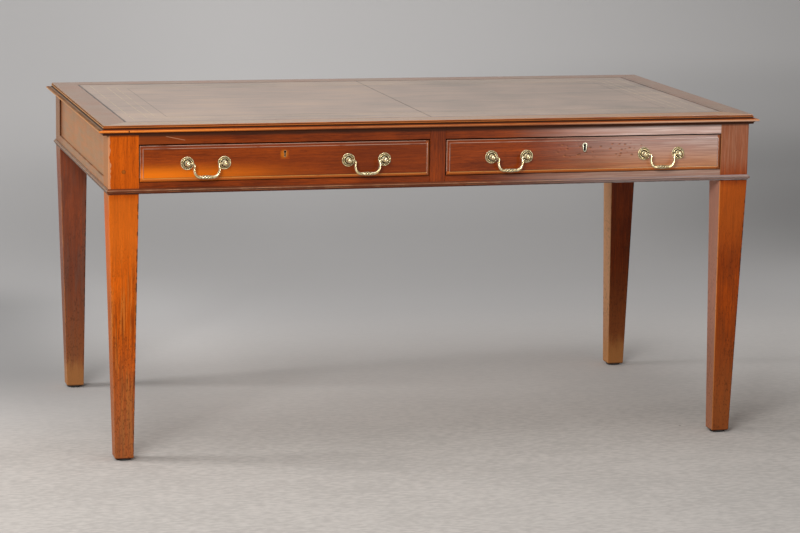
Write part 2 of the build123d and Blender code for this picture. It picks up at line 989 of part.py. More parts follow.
def handle_post():
    """A post: a shank through the front, a neck and a turned ball that carries the bail."""
    tail = front_back_y - field_y + nut_thickness + thread_end
    profile = [
        (post_shank_radius, -tail),
        (post_shank_radius, 0),
        (post_neck_radius, 0),
        (post_neck_radius, post_stand_off - post_ball_radius),
    ]
    profile += [
        (post_ball_radius * width, post_stand_off + post_ball_radius * height)
        for width, height in zip(ball_width_shares, ball_height_shares)
    ]
    return turned(profile, post_sides)


def bail_socket():
    """The blind hole in the +X side of a post's ball for a bail's pin, as drawn about the post."""
    depth = bail_pin_length + bail_pin_end_room
    plane = Plane(
        origin=(post_ball_radius - depth, 0, post_stand_off), x_dir=(0, 1, 0), z_dir=(1, 0, 0)
    )
    bore = RegularPolygon(bail_wire_radius + bail_pin_play, bail_sides, major_radius=False)
    return extrude(plane * bore, amount=depth + cut_over)


def handle_posts(side):
    """The four posts of a drawer, their sockets turned to each other in pairs."""
    post = handle_post() - bail_socket()
    turns = (0, 180, 0, 180)
    posts = [on_front(x, Rot(0, 0, turn) * post) for x, turn in zip(handle_posts_x(side), turns)]
    return Compound(posts)


def rosettes(side):
    plate = rosette()
    return Compound([on_front(x, plate) for x in handle_posts_x(side)])


def handle_nuts(side):
    """The nuts that hold the posts, behind the front."""
    nuts = []
    for x in handle_posts_x(side):
        plane = Plane(origin=(x, front_back_y, handle_height), x_dir=(1, 0, 0), z_dir=(0, 1, 0))
        bore = RegularPolygon(post_shank_radius + post_shank_play, post_sides)
        outline = RegularPolygon(nut_radius, nut_sides) - bore
        nuts.append(extrude(plane * outline, amount=nut_thickness))
    return Compound(nuts)


def bail_line(centre):
    """The line down the middle of a bail, from one pin round to the other."""
    pin_x = handle_centres / 2 - post_ball_radius + bail_pin_length
    half = [
        (pin_x, 0),
        (bail_waist, 0),
        (bail_belly, -bail_belly_drop),
        (bail_foot, -bail_drop),
    ]
    radii = [bail_neck_radius, bail_belly_radius, bail_foot_radius]
    points = half + [(-x, z) for x, z in reversed(half)]
    hang = Plane(origin=(centre, post_axis_y, handle_height), x_dir=(1, 0, 0), z_dir=(0, -1, 0))
    return hang * FilletPolyline(*points, radius=radii + radii[::-1])


def bail_radii(line):
    """Places along half a bail's line, with its radius there: neck, swelling, collared grip."""
    middle = line.length / 2
    places = []
    for step in range(bail_steps + 1):
        place = (middle - grip_half_length) * step / bail_steps
        drop = handle_height - (line @ (place / line.length)).Z
        swelling = (grip_end_radius - bail_wire_radius) * drop / bail_drop
        places.append((place, bail_wire_radius + swelling))
    collar_start = middle - grip_half_length + grip_collar_inset
    collar_end = collar_start + grip_collar_width
    places.append((collar_start, grip_end_radius))
    places.append((collar_start, grip_collar_radius))
    places.append((collar_end, grip_collar_radius))
    places.append((collar_end, grip_end_radius))
    return places


def bail(centre):
    """A swan-neck bail: pins, necks that curl in and swell out, and a turned grip."""
    line = bail_line(centre)
    half = bail_radii(line)
    other_half = [(line.length - place, radius) for place, radius in reversed(half)]
    rings = []
    for place, radius in half + [(line.length / 2, grip_radius)] + other_half:
        share = place / line.length
        section = Plane(origin=line @ share, x_dir=(0, 1, 0), z_dir=line % share)
        rings.append(ring(section, radius, bail_sides))
    return faceted(rings)


def drawer_nodes(side, name):
    """Every piece of one drawer, by node name."""
    centre = side * drawer_centre
    surround = "keyhole_patch" if side < 0 else "escutcheon"
    pierced = keyhole_surround(side) - keyhole(
        lock_x(side), field_y - cut_over, field_y + patch_thickness + cut_over
    )
    pieces = {
        "drawer_front": drawer_front(side),
        "drawer_side_near_leg": drawer_side(side, side),
        "drawer_side_near_middle": drawer_side(side, -side),
        "drawer_back": drawer_back(side),
        "drawer_bottom": drawer_bottom(side),
        "drawer_slips": drawer_slips(side),
        surround: pierced,
        "lock_case": lock_case(side),
        "lock_bolt": lock_bolt(side),
        "handle_rosettes": rosettes(side),
        "handle_posts": handle_posts(side),
        "handle_nuts": handle_nuts(side),
        "bail_near_leg": bail(centre + side * handle_spread),
        "bail_near_middle": bail(centre - side * handle_spread),
    }
    return {f"{name}_{piece}": solid for piece, solid in pieces.items()}


def table_nodes():
    """Every piece of the table, by node name."""
    nodes = {"top_ground": top_ground()}
    hole = screw_hole(frieze_top - cut_over, frieze_top + screw_grip)
    holes = placed(hole, button_screw_places() + rail_screw_places())
    for place, border in four_sides(
        border_section(), arris_x, arris_y, border_width, edge_reach
    ).items():
        nodes[f"top_border_{place}"] = border - holes
    for place, bead in four_sides(
        frieze_bead_section(), half_length, half_depth, 0, frieze_bead_reach
    ).items():
        nodes[f"frieze_bead_{place}"] = bead
    for side, name in ((-1, "left"), (1, "right")):
        nodes[f"leather_{name}"] = leather(side)
        nodes[f"leg_front_{name}"] = leg(side, -1)
        nodes[f"leg_back_{name}"] = leg(side, 1)
        nodes[f"top_rail_{name}"] = top_rail(side)
        nodes[f"lower_rail_{name}"] = front_rail(side, frieze_bottom, opening_bottom)
        nodes[f"end_rail_{name}"] = end_rail(side)
        nodes[f"runner_{name}"] = runner(side)
        nodes.update(drawer_nodes(side, name))
    nodes["back_rail"] = back_rail()
    nodes["drawer_divider"] = drawer_divider()
    nodes["runner_centre"] = centre_runner()
    nodes["kickers"] = kickers()
    nodes["drawer_stops"] = drawer_stops()
    nodes["top_buttons"] = turn_buttons()
    nodes["top_screws"] = top_screws()
    nodes["leg_glides"] = leg_glides()
    return nodes


for node, shape in table_nodes().items():
    export_step(shape, f"parts/{node}.step")
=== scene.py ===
"""Writing table with a leather top: its polished wood, tooled hide, cast handles and studio.

Sizes are millimetres in the table's own frame: X along the table, -Y the drawer side, Z up.
"""

import math

import bpy
from bpy.props import FloatProperty, FloatVectorProperty, IntProperty, PointerProperty
from mathutils import Matrix, Vector


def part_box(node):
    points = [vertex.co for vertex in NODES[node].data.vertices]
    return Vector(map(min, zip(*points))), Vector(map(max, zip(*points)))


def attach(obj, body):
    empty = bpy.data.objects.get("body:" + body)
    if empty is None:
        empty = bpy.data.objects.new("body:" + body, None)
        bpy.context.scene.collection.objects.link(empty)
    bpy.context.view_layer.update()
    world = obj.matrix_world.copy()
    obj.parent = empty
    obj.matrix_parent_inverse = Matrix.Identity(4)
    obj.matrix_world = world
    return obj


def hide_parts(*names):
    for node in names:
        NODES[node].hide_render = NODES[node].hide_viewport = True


bl_info = {
    "name": "Writing table",
    "version": (1, 0, 0),
    "blender": (4, 5, 0),
    "location": "View3D > Sidebar > Writing table",
    "description": "Dresses a leather-topped writing table and sets its studio",
    "category": "Object",
}

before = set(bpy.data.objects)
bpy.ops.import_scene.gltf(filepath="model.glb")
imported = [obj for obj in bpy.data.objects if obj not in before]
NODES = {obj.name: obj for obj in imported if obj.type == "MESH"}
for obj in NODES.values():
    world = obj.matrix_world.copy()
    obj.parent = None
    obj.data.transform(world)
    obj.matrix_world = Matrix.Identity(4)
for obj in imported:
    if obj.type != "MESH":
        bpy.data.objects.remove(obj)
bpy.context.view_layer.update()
MM = 0.001


def mm_box(node):
    """A frame node's lowest and highest corners in millimetres."""
    low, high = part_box(node)
    return low / MM, high / MM


# Planes and places read off the frame

LEG_LOW, LEG_HIGH = mm_box("leg_front_right")
BLOCK_OUT_X = LEG_HIGH.x
BLOCK_OUT_Y = -LEG_LOW.y
LEG_BLOCK = LEG_HIGH.x - LEG_LOW.x
FRIEZE_TOP = LEG_HIGH.z
FRIEZE_BOTTOM = mm_box("lower_rail_left")[0].z
HIDE_HIGH = mm_box("leather_right")[1]
BORDER_TOP = mm_box("top_border_front")[1].z
SIDES = ("left", "right")
ENDS = ("near_leg", "near_middle")


def linear(red, green, blue):
    """A colour given as it looks on a screen, in 0 to 255, as scene-linear values."""
    shares = [value / 255 for value in (red, green, blue)]
    return tuple(s / 12.92 if s <= 0.04045 else ((s + 0.055) / 1.055) ** 2.4 for s in shares)


def colour_property(name, description, *screen_tone):
    return FloatVectorProperty(
        name=name, description=description, subtype="COLOR", min=0, max=1,
        default=linear(*screen_tone),
    )


def share_property(name, description, default):
    return FloatProperty(
        name=name, description=description, subtype="FACTOR", min=0, max=1, default=default
    )


def length_property(name, description, default):
    """A length in millimetres, kept in metres as Blender does."""
    return FloatProperty(
        name=name, description=description, subtype="DISTANCE", unit="LENGTH", min=0,
        default=default * MM,
    )


def power_property(name, description, default):
    return FloatProperty(name=name, description=description + ", W", min=0, default=default)


# Sizes and colours that can be changed


class WoodSettings(bpy.types.PropertyGroup):
    light: colour_property("Light grain", "Bright bands of the mahogany", 228, 104, 18)
    middle: colour_property("Middle grain", "Main tone of the mahogany", 166, 70, 14)
    dark: colour_property("Dark grain", "Dark bands of the mahogany", 106, 41, 10)
    pore: colour_property("Pores", "Filled pores and dark flecks", 58, 24, 10)
    worn: colour_property("Worn arris", "Wood where the polish is rubbed off", 222, 146, 76)
    # Painted sheen: faces towards the left drawn paler and greyer, as the lamp at the left shows
    # them
    side_sheen: colour_property("Side sheen", "Painted sheen on faces towards the left lamp", 160, 122, 84)
    # Also the tone of painted shade under overhangs, in hollows, recesses and gaps
    grime_and_shade: colour_property("Grime", "Wax and dirt left in corners", 44, 28, 18)
    gloss: share_property("Roughness", "Roughness of the French polish", 0.3)
    lining: colour_property("Lining", "Oak of the drawer linings", 168, 132, 88)
    carcase: colour_property("Carcase", "Oak of the runners and ground", 140, 108, 72)


class HideSettings(bpy.types.PropertyGroup):
    # Partly painted sheen: the hide's tones are lighter and greyer than the leather's own
    hide: colour_property("Hide", "Main tone of the leather", 182, 159, 144)
    rubbed: colour_property("Rubbed hide", "Warm patches where the hide is rubbed", 204, 176, 151)
    stained: colour_property("Stained hide", "Dark waxed streaks", 148, 134, 123)
    gilt: colour_property("Gilt", "Gold leaf in the tooled lines", 232, 212, 176)
    outer_line: length_property("Outer line", "Inset of the outer gilt line", 26)
    inner_line: length_property("Inner line", "Inset of the inner gilt line", 62)
    third_line: length_property("Third line", "Inset of the third gilt line", 82)
    line_width: length_property("Line width", "Width of a tooled line", 1.5)
    line_depth: length_property("Line depth", "Depth pressed by the tool", 0.25)
    blind_end: length_property("Blind line, ends", "Inset of the blind line at the ends", 108)
    blind_side: length_property("Blind line, sides", "Inset at front and back", 90)


class BrassSettings(bpy.types.PropertyGroup):
    brass: colour_property("Brass", "Handled, bright brass", 248, 244, 214)
    gold: colour_property("Gold", "Brass still yellow on flat places", 226, 192, 116)
    tarnish: colour_property("Tarnish", "Dull brass in the hollows", 74, 60, 32)
    lobes: IntProperty(name="Lobes", description="Lobes round a rosette", min=6, default=26)
    ribs: IntProperty(name="Ribs", description="Twisted ribs round a grip", min=3, default=4)


class StudioSettings(bpy.types.PropertyGroup):
    floor: colour_property("Floor", "Painted floor", 198, 192, 186)
    backdrop: colour_property("Backdrop", "Backdrop behind the table", 212, 210, 209)
    side: power_property("Side lamp", "Power of the lamp at the left", 100)
    front: power_property("Front lamp", "Power of the lamp in front", 160)
    low: power_property("Low lamp", "Power of the low lamp", 60)
    top: power_property("Top lamp", "Power of the overhead lamp", 45)
    surround: share_property("Surround", "Strength of the light from all round", 0.26)


# Tones of age, wear and dirt, and of painted light, shade and sheen, as they look on a screen, in
# 0 to 255

TONES = {
    "leg vein": (122, 58, 22), "gold streak": (222, 136, 56), "dark streak": (116, 50, 16),
    "leg glow": (232, 120, 34), "greyed leg": (110, 86, 76), "bleached leg": (252, 192, 142),
    "tanned leg": (150, 86, 34), "misty leg": (214, 172, 152), "lit arris": (226, 136, 54),
    "leg silk": (188, 128, 96), "rubbed block": (214, 158, 116), "peg": (142, 88, 34),
    "dusty foot": (142, 92, 60), "brown foot": (146, 86, 46), "pale foot": (186, 128, 72),
    "tan bead": (214, 146, 84), "grey line": (150, 132, 112), "orange line": (222, 146, 78),
    "dull edge": (112, 70, 44), "warm bead": (204, 126, 54), "bright bead": (246, 140, 52),
    "brown bead": (160, 102, 66), "pale bead": (226, 178, 146), "border": (158, 128, 102),
    "front border, left": (185, 160, 133), "front border, right": (189, 142, 95),
    "end streak": (184, 112, 60), "greyed end": (142, 122, 100), "dark end": (120, 66, 38),
    "dusty strip": (134, 114, 96), "ruddy rail": (190, 104, 56), "silvered rail": (248, 220, 208),
    "dull silver": (190, 158, 140), "warm rail": (160, 76, 26), "scratch": (206, 150, 110),
    "open joint": (176, 142, 118), "dark frieze bead": (92, 54, 32), "bead top": (170, 118, 82),
    "bead fillet": (168, 104, 62), "silvered bead": (176, 156, 150), "dusty bead": (136, 118, 100),
    "drawer glow": (252, 128, 12), "drawer dusk": (98, 38, 14), "silk, low": (216, 142, 84),
    "silk, high": (210, 182, 172), "pit rim": (196, 120, 76), "sunny cove": (206, 106, 26),
    "brown cove": (160, 84, 38), "pale lip": (222, 176, 150), "gold fillet": (248, 176, 84),
    "patch glow": (204, 112, 20), "hide dirt": (44, 34, 28), "blind line": (84, 70, 62),
    "keyhole dirt": (30, 22, 12), "steel": (120, 116, 110), "rust": (60, 50, 42),
    "glide": (26, 25, 25), "glide scuff": (70, 66, 62),
    "floor speck": (96, 88, 80), "floor light": (236, 232, 228),
}


# Materials: sums of sockets, and the maker of nodes


def sum_of(operation, swapped=False):
    """A method that adds a Math node, with its terms swapped for a reflected form."""

    def method(self, *others):
        terms = (self, *others)
        return self.finish.math(operation, *(reversed(terms) if swapped else terms))

    return method


class Value:
    """A socket of a material, used in sums written as Python expressions."""

    def __init__(self, finish, socket):
        self.finish = finish
        self.socket = socket

    __add__ = __radd__ = sum_of("ADD")
    __sub__, __rsub__ = sum_of("SUBTRACT"), sum_of("SUBTRACT", swapped=True)
    __mul__ = __rmul__ = sum_of("MULTIPLY")
    __truediv__, __rtruediv__ = sum_of("DIVIDE"), sum_of("DIVIDE", swapped=True)
    __abs__ = sum_of("ABSOLUTE")
    least = sum_of("MINIMUM")
    most = sum_of("MAXIMUM")

    def rise(self, start, end):
        """0 at start and 1 at end, with a soft step between them; it falls if end is less."""
        sockets = {"Value": self, "From Min": start, "From Max": end}
        return self.finish.node(
            "ShaderNodeMapRange", {"interpolation_type": "SMOOTHSTEP"}, sockets, "Result"
        )

    def band(self, middle, half_width, softness):
        """1 within half_width of a value, falling to 0 over the softness beside it."""
        return abs(self - middle).rise(half_width + softness, half_width)


class Finish:
    """A material and its nodes. Places in it are millimetres in the table's frame."""

    def __init__(self, name):
        self.faces = {}
        self.material = bpy.data.materials.new(name)
        self.material.use_nodes = True
        self.tree = self.material.node_tree
        self.tree.nodes.clear()
        place = self.node("ShaderNodeTexCoord", output="Object")
        self.place = self.vector_math("SCALE", place, Scale=1 / MM)
        self.axes = self.x, self.y, self.z = [self.part(self.place, axis) for axis in "XYZ"]

    def node(self, kind, settings=None, sockets=None, output=None):
        """Add a node: settings first, then the value or link of each socket named."""
        made = self.tree.nodes.new(kind)
        for setting, value in (settings or {}).items():
            if setting == "stops":
                self.set_stops(made.color_ramp, value)
            else:
                setattr(made, setting, value)
        for name, value in (sockets or {}).items():
            socket = self.named(made.inputs, name)
            if isinstance(value, Value):
                self.tree.links.new(value.socket, socket)
            elif value is not None:
                wide = socket.type == "RGBA" and len(value) == 3
                socket.default_value = (*value, 1) if wide else value
        return made if output is None else Value(self, self.named(made.outputs, output))

    @staticmethod
    def named(sockets, name):
        if isinstance(name, int):
            return sockets[name]
        for socket in sockets:
            if name in (socket.identifier, socket.name) and socket.enabled:
                return socket
        raise KeyError(f"no socket is named {name}")

    @staticmethod
    def set_stops(ramp, stops):
        while len(ramp.elements) < len(stops):
            ramp.elements.new(1)
        for element, (place, colour) in zip(ramp.elements, stops):
            element.position = place
            element.color = (*colour, 1)

    def math(self, operation, *terms):
        sockets = dict(enumerate(terms))
        return self.node("ShaderNodeMath", {"operation": operation}, sockets, "Value")

    def vector_math(self, operation, *terms, **named):
        sockets = {**dict(enumerate(terms)), **named}
        return self.node("ShaderNodeVectorMath", {"operation": operation}, sockets, "Vector")

    def part(self, vector, axis):
        return self.node("ShaderNodeSeparateXYZ", None, {"Vector": vector}, axis)

    def join(self, x, y, z):
        return self.node("ShaderNodeCombineXYZ", None, {"X": x, "Y": y, "Z": z}, "Vector")

    def off(self, x, z):
        """Distance from a place, seen from the front."""
        across = self.x - x
        up = self.z - z
        return self.math("SQRT", across * across + up * up)

    def facing(self, axis, sign):
        """1 where the surface looks along an axis, forwards or backwards."""
        if (axis, sign) not in self.faces:
            normal = self.node("ShaderNodeNewGeometry", output="Normal")
            self.faces[axis, sign] = (self.part(normal, axis) * sign).rise(0.45, 0.9)
        return self.faces[axis, sign]

    def mix(self, share, first, second):
        """The second colour over the first; each is a name in TONES, a socket or numbers."""
        first, second = (linear(*TONES[c]) if isinstance(c, str) else c for c in (first, second))
        sockets = {"Factor_Float": share, "A_Color": first, "B_Color": second}
        return self.node("ShaderNodeMix", {"data_type": "RGBA"}, sockets, "Result_Color")

    def scaled(self, size, stretch, shift, place=None):
        """Places for a pattern of a size, longer along an axis where stretch is more than 1."""
        scale = tuple(1 / (size * axis) for axis in stretch)
        return self.vector_math("MULTIPLY_ADD", place or self.place, scale, shift)

    def noise(self, size, detail=2, stretch=(1, 1, 1), shift=(0, 0, 0), place=None):
        """Cloudy values of 0 to 1 with features about so many millimetres across."""
        moved = self.scaled(size, stretch, shift, place)
        sockets = {"Vector": moved, "Scale": 1, "Detail": detail}
        return self.node("ShaderNodeTexNoise", None, sockets, 0)

    def spots(self, size, radius, share, shift=(0, 0, 0), stretch=(1, 1, 1)):
        """Round spots of a radius, in a share of cells of a size."""
        moved = self.scaled(size, stretch, shift)
        cells = self.node("ShaderNodeTexVoronoi", None, {"Vector": moved, "Scale": 1})
        near = Value(self, cells.outputs["Distance"]).rise(radius / size, radius / size / 2)
        pick = self.part(Value(self, cells.outputs["Color"]), "X")
        return near * pick.rise(share, share - 0.02)

    def ramp(self, value, *stops):
        return self.node("ShaderNodeValToRGB", {"stops": stops}, {"Fac": value}, "Color")

    def bump(self, height):
        """A normal from a height in millimetres."""
        return self.node("ShaderNodeBump", None, {"Height": height, "Distance": MM}, "Normal")

    def surface(self, **sockets):
        """A finished material; an underscore in a socket's name stands for a space."""
        named = {name.replace("_", " "): value for name, value in sockets.items()}
        shader = self.node("ShaderNodeBsdfPrincipled", None, named, "BSDF")
        self.node("ShaderNodeOutputMaterial", None, {"Surface": shader})
        return self.material


# Masks that follow the table's own shapes


# How much narrower a foot is on each side than the block, and its lean towards the middle

FOOT_NARROWING = 13
FOOT_LEAN = 3.5


def leg_arris(finish):
    """Distance in millimetres from the nearest long arris of the leg."""
    shaft = (FRIEZE_BOTTOM - finish.z).most(0) / FRIEZE_BOTTOM
    half = LEG_BLOCK / 2 - FOOT_NARROWING * shaft
    middle = LEG_BLOCK / 2 + FOOT_LEAN * shaft
    off_x = half - abs(abs(finish.x) - (BLOCK_OUT_X - middle))
    off_y = half - abs(abs(finish.y) - (BLOCK_OUT_Y - middle))
    return off_x.most(off_y)


def edge_depth(finish):
    """Depth under the top surface."""
    return BORDER_TOP - finish.z


def front_inset(finish, side):
    """Distance in from the outline of a drawer front."""
    low, high = mm_box(f"{side}_drawer_front")
    middle = (low + high) / 2
    half = (high - low) / 2
    across = half.x - abs(finish.x - middle.x)
    return across.least(half.z - abs(finish.z - middle.z))


def lengthwise(along, stretch):
    """A pattern's stretch along the grain, which runs along X, Y or Z."""
    return tuple(stretch if axis == along else 1 for axis in "XYZ")


# Mahogany and oak


class Board:
    """The figure of one mahogany board: colour, height and shine, which masks then change."""

    def __init__(self, name, along, seed, wood, tone=0.5, ribbon=0.25, contrast=1, polish=0.03):
        self.finish = finish = Finish(name)
        self.wood = wood
        self.coat = polish
        self.sheen = 0.1
        shift = (seed * 3.7, seed * 5.3, seed * 7.1)
        sway = (finish.noise(60, 1, lengthwise(along, 5), shift) - 0.5) * 9
        swayed = finish.vector_math("ADD", finish.place, finish.join(sway, sway, sway))
        broad = finish.noise(13, 2, lengthwise(along, 30), shift, swayed) - 0.5
        streaks = finish.noise(3.4, 3, lengthwise(along, 26), shift, swayed) - 0.5
        fine = finish.noise(1.3, 2, lengthwise(along, 18), shift, swayed) - 0.5
        cloud = finish.noise(170, 3, shift=shift) - 0.5
        lines = (streaks * 0.34 + fine * 0.3) * contrast
        figure = broad * ribbon + lines + cloud * 0.36 + tone
        tones = (0.24, wood.dark), (0.5, wood.middle), (0.78, wood.light)
        colour = finish.ramp(figure, *tones)
        pores = finish.noise(0.8, 2, lengthwise(along, 11), shift, swayed).rise(0.57, 0.7)
        specks = finish.spots(8, 0.9, 0.2, shift, lengthwise(along, 1.5))
        colour = finish.mix(pores * 0.4 * contrast, colour, wood.pore)
        self.colour = finish.mix(specks * 0.6, colour, wood.pore)
        haze = finish.noise(55, 3, shift=shift)
        self.rough = wood.gloss + haze * 0.16 + pores * 0.12
        waves = finish.noise(24, 2, shift=shift)
        self.height = waves * 0.14 - pores * 0.05 - specks * 0.15 + streaks * 0.05
        # Painted sheen on left-facing faces at the left end, more of it higher up
        end = finish.facing("X", -1) * finish.x.rise(-BLOCK_OUT_X + 40, -BLOCK_OUT_X + 20)
        self.shade(end * (finish.z.rise(560, 640) * 0.65 + haze * 0.24), wood.side_sheen)

    def grime_and_shade(self, mask, share=0.8):
        """Darker where the mask is 1: wax and dirt in some places, painted shade in others."""
        self.colour = self.finish.mix(mask * share, self.colour, self.wood.grime_and_shade)
        self.rough = self.rough + mask * 0.2

    def worn(self, mask, share=0.7):
        """Polish rubbed through where the mask is 1."""
        self.colour = self.finish.mix(mask * share, self.colour, self.wood.worn)
        self.rough = self.rough + mask * 0.08

    def shade(self, mask, colour, share=1.0):
        self.colour = self.finish.mix(mask * share, self.colour, colour)

    def dent(self, mask, depth):
        self.height = self.height - mask * depth

    def done(self):
        return self.finish.surface(
            Base_Color=self.colour,
            Roughness=self.rough,
            Normal=self.finish.bump(self.height),
            Specular_IOR_Level=self.sheen,
            Coat_Weight=self.coat,
            Coat_Roughness=0.2,
        )


def dress(material, *names):
    """Give frame nodes a material of their own."""
    for name in names:
        slots = NODES[name].data.materials
        slots.clear()
        slots.append(material)


def ease(width, *names):
    """Round the arrises of frame nodes a little, so that they catch the light."""
    for name in names:
        node = NODES[name]
        weld = node.modifiers.new("Join faces", "WELD")
        weld.merge_threshold = 0.01 * MM
        arris = node.modifiers.new("Eased arris", "BEVEL")
        arris.width = width * MM
        arris.segments = 2
        arris.limit_method = "ANGLE"
        arris.angle_limit = math.radians(25)
        arris.harden_normals = True


def painted_sheen_right(board, low_tone, high_tone=None, start=180, share=0.9):
    """Painted sheen towards the right end of the front, perhaps in two tones."""
    finish = board.finish
    haze = finish.noise(4, 4, (24, 1, 1), (6, 6, 6)).rise(0.36, 0.64) * 0.36 + 0.64
    up = finish.z.rise(FRIEZE_BOTTOM + 20, FRIEZE_TOP - 20)
    tone = finish.mix(up, low_tone, high_tone or low_tone)
    board.shade(finish.x.rise(start, start + 400) * haze * share, tone)


# The tone of each leg's mahogany, darker from front left to back right partly as painted light,
# and the end of a peg in the front left one

LEG_TONES = {"front_left": 0.68, "front_right": 0.44, "back_left": 0.38, "back_right": 0.3}
PEG_PLACE = (-719.9, 661.6)


def leg_light(name, board, arris, veins, down, below):
    """Painted light and shade on each leg, with its streaks and greyed wood: left faces painted
    lit or shaded, a painted glow and sheen high on the front ones.
    """
    finish = board.finish
    x, _, z = finish.axes
    front = finish.facing("Y", -1)
    left = finish.facing("X", -1) * below
    if name == "front_left":
        gold = finish.noise(6, 3, (1, 1, 30), (6, 2, 1)).rise(0.46, 0.62)
        board.shade(gold * down * 0.45, "gold streak")
        dark = finish.noise(4, 3, (1, 1, 26), (2, 8, 5)).rise(0.5, 0.68)
        board.shade(dark * down * 0.6, "dark streak")
    if name.startswith("front"):
        # Painted light: a bright band on the front faces just under the frieze
        glow = z.band(FRIEZE_BOTTOM - 50, 30, 130) * z.rise(FRIEZE_BOTTOM, FRIEZE_BOTTOM - 20)
        board.shade(glow * front * (0.4 if name == "front_left" else 0.25), "leg glow")
    if name == "front_left":
        # Painted shade on the front left leg's left face
        board.shade(left * (down * 0.2 + 0.15), "tanned leg")
    elif name == "front_right":
        # Painted light on the front right leg's left face
        board.shade(left * 0.5, "misty leg")
        lit = arris.rise(2.6, 1) * x.rise(BLOCK_OUT_X - 40, BLOCK_OUT_X - 48)
        board.shade(lit * below, "lit arris", 0.6)
        # Painted sheen in streaks high on the front face
        sheen_streaks = finish.noise(3, 4, (1, 1, 20), (3, 3, 8)).rise(0.42, 0.66) * 0.4 + 0.5
        above = z.rise(FRIEZE_BOTTOM - 4, FRIEZE_BOTTOM + 60)
        board.shade(sheen_streaks * above * front, "leg silk", 0.8)
    elif name == "back_left":
        board.shade(veins * 0.2 + 0.3, "greyed leg")
    else:
        # Painted light on the back right leg's left face
        board.shade(left * (z.rise(330, 60) * 0.15 + 0.78), "bleached leg")
    if name != "back_left":
        board.sheen, board.coat = 0.03, 0.01


def block_wear(board, arris, right, below):
    """The front left leg's block: its left corner rubbed pale, and a peg's end."""
    finish = board.finish
    front = finish.facing("Y", -1)
    ragged = finish.noise(13, 4, (1, 1, 1.2), (4, 4, 9))
    rubbed = (arris + ragged * 12).rise(10.6, 9.4)
    board.shade(rubbed * ((1 - right) * (1 - below)) * front, "rubbed block", 0.75)
    peg = finish.off(*PEG_PLACE)
    board.shade(peg.rise(4.6, 3) * front, "peg", 0.7)
    board.grime_and_shade(peg.band(4.2, 0.3, 0.7) * front, 0.4)


def mahogany_legs(wood):
    """Four legs, worn at their arrises, knocked, pricked and dirty at their feet, with painted
    shade on their right arrises, under the bead and the top, and inside the end recesses.
    """
    for seed, (name, tone) in enumerate(LEG_TONES.items()):
        board = Board(f"Mahogany leg {name}", "Z", 3 + seed, wood, tone, 0.22, 0.9)
        finish, arris = board.finish, leg_arris(board.finish)
        x, y, z = finish.axes
        shift = (seed, 3, 6)
        down = z.rise(FRIEZE_BOTTOM - 40, 320)
        below = z.rise(FRIEZE_BOTTOM + 1, FRIEZE_BOTTOM - 4)
        veins = finish.noise(7, 4, (1, 1, 16), shift).rise(0.44, 0.66)
        board.shade(veins * (down * 0.4 + 0.05), "leg vein")
        leg_light(name, board, arris, veins, down, below)
        middle = (BLOCK_OUT_X - LEG_BLOCK / 2) * (1 if name.endswith("right") else -1)
        right = x.rise(middle, middle + 9)
        ragged = finish.noise(9, 3, (1, 1, 3))
        board.worn((arris + ragged * 3.2).rise(3.2, 1.4) * (1 - right * 0.6), 0.5)
        if name == "front_left":
            block_wear(board, arris, right, below)
        # Knocks on the right arrises, darkened there as painted shade too
        knocks_and_shade = finish.noise(6, 3, (1, 1, 2.4), (4, 4, seed)).rise(0.46, 0.56)
        board.grime_and_shade(knocks_and_shade * arris.rise(4.2, 1.2) * right * below, 0.85)
        low = z.rise(330, 40)
        board.shade(low, "dusty foot" if name == "front_left" else "brown foot", 0.6)
        patches = finish.noise(30, 3, (1, 1, 2.4), shift).rise(0.36, 0.54)
        dashes = finish.noise(2.8, 2, (1, 1, 2.6), shift).rise(0.55, 0.64) * 0.6
        pricks = dashes * (down * 0.7 + 0.1) * patches
        board.grime_and_shade(pricks.most(finish.spots(4.5, 1.6, 0.5, shift, (1, 1, 1.5)) * low * 0.45), 0.8)
        if name.startswith("back"):
            streaks = finish.noise(12, 3, (0.4, 0.4, 3), shift) - 0.5
            board.shade((z + streaks * 70).rise(92, 34), "pale foot", 0.55)
        # Painted shade: a dark band on the leg under the bead
        joint = z.rise(FRIEZE_BOTTOM - 3.5, FRIEZE_BOTTOM - 0.5)
        board.grime_and_shade(joint * z.rise(FRIEZE_BOTTOM + 1, FRIEZE_BOTTOM), 0.5)
        # Painted shade under the top
        board.grime_and_shade(z.rise(FRIEZE_TOP - 5, FRIEZE_TOP - 1), 0.6)
        board.grime_and_shade(z.rise(9, 6), 0.6)
        # Painted shade on the back legs' faces inside the end recesses
        if name.startswith("back"):
            faces = finish.facing("Y", -1) + finish.facing("Y", 1)
            inner = z.rise(FRIEZE_BOTTOM, FRIEZE_BOTTOM + 1) * faces
            board.grime_and_shade(inner * abs(y).rise(BLOCK_OUT_Y - 30, BLOCK_OUT_Y - 50), 0.75)
        dress(board.done(), f"leg_{name}")


# Depths of the lines of the moulded edge under the top

EDGE_ARRIS = 1.2
EDGE_QUIRK = 2.7
EDGE_BEAD = 4.7
EDGE_HOLLOW = 7.6
EDGE_STEP = 11.2
EDGE_ROUND = 12.8
EDGE_FOOT = 15.2


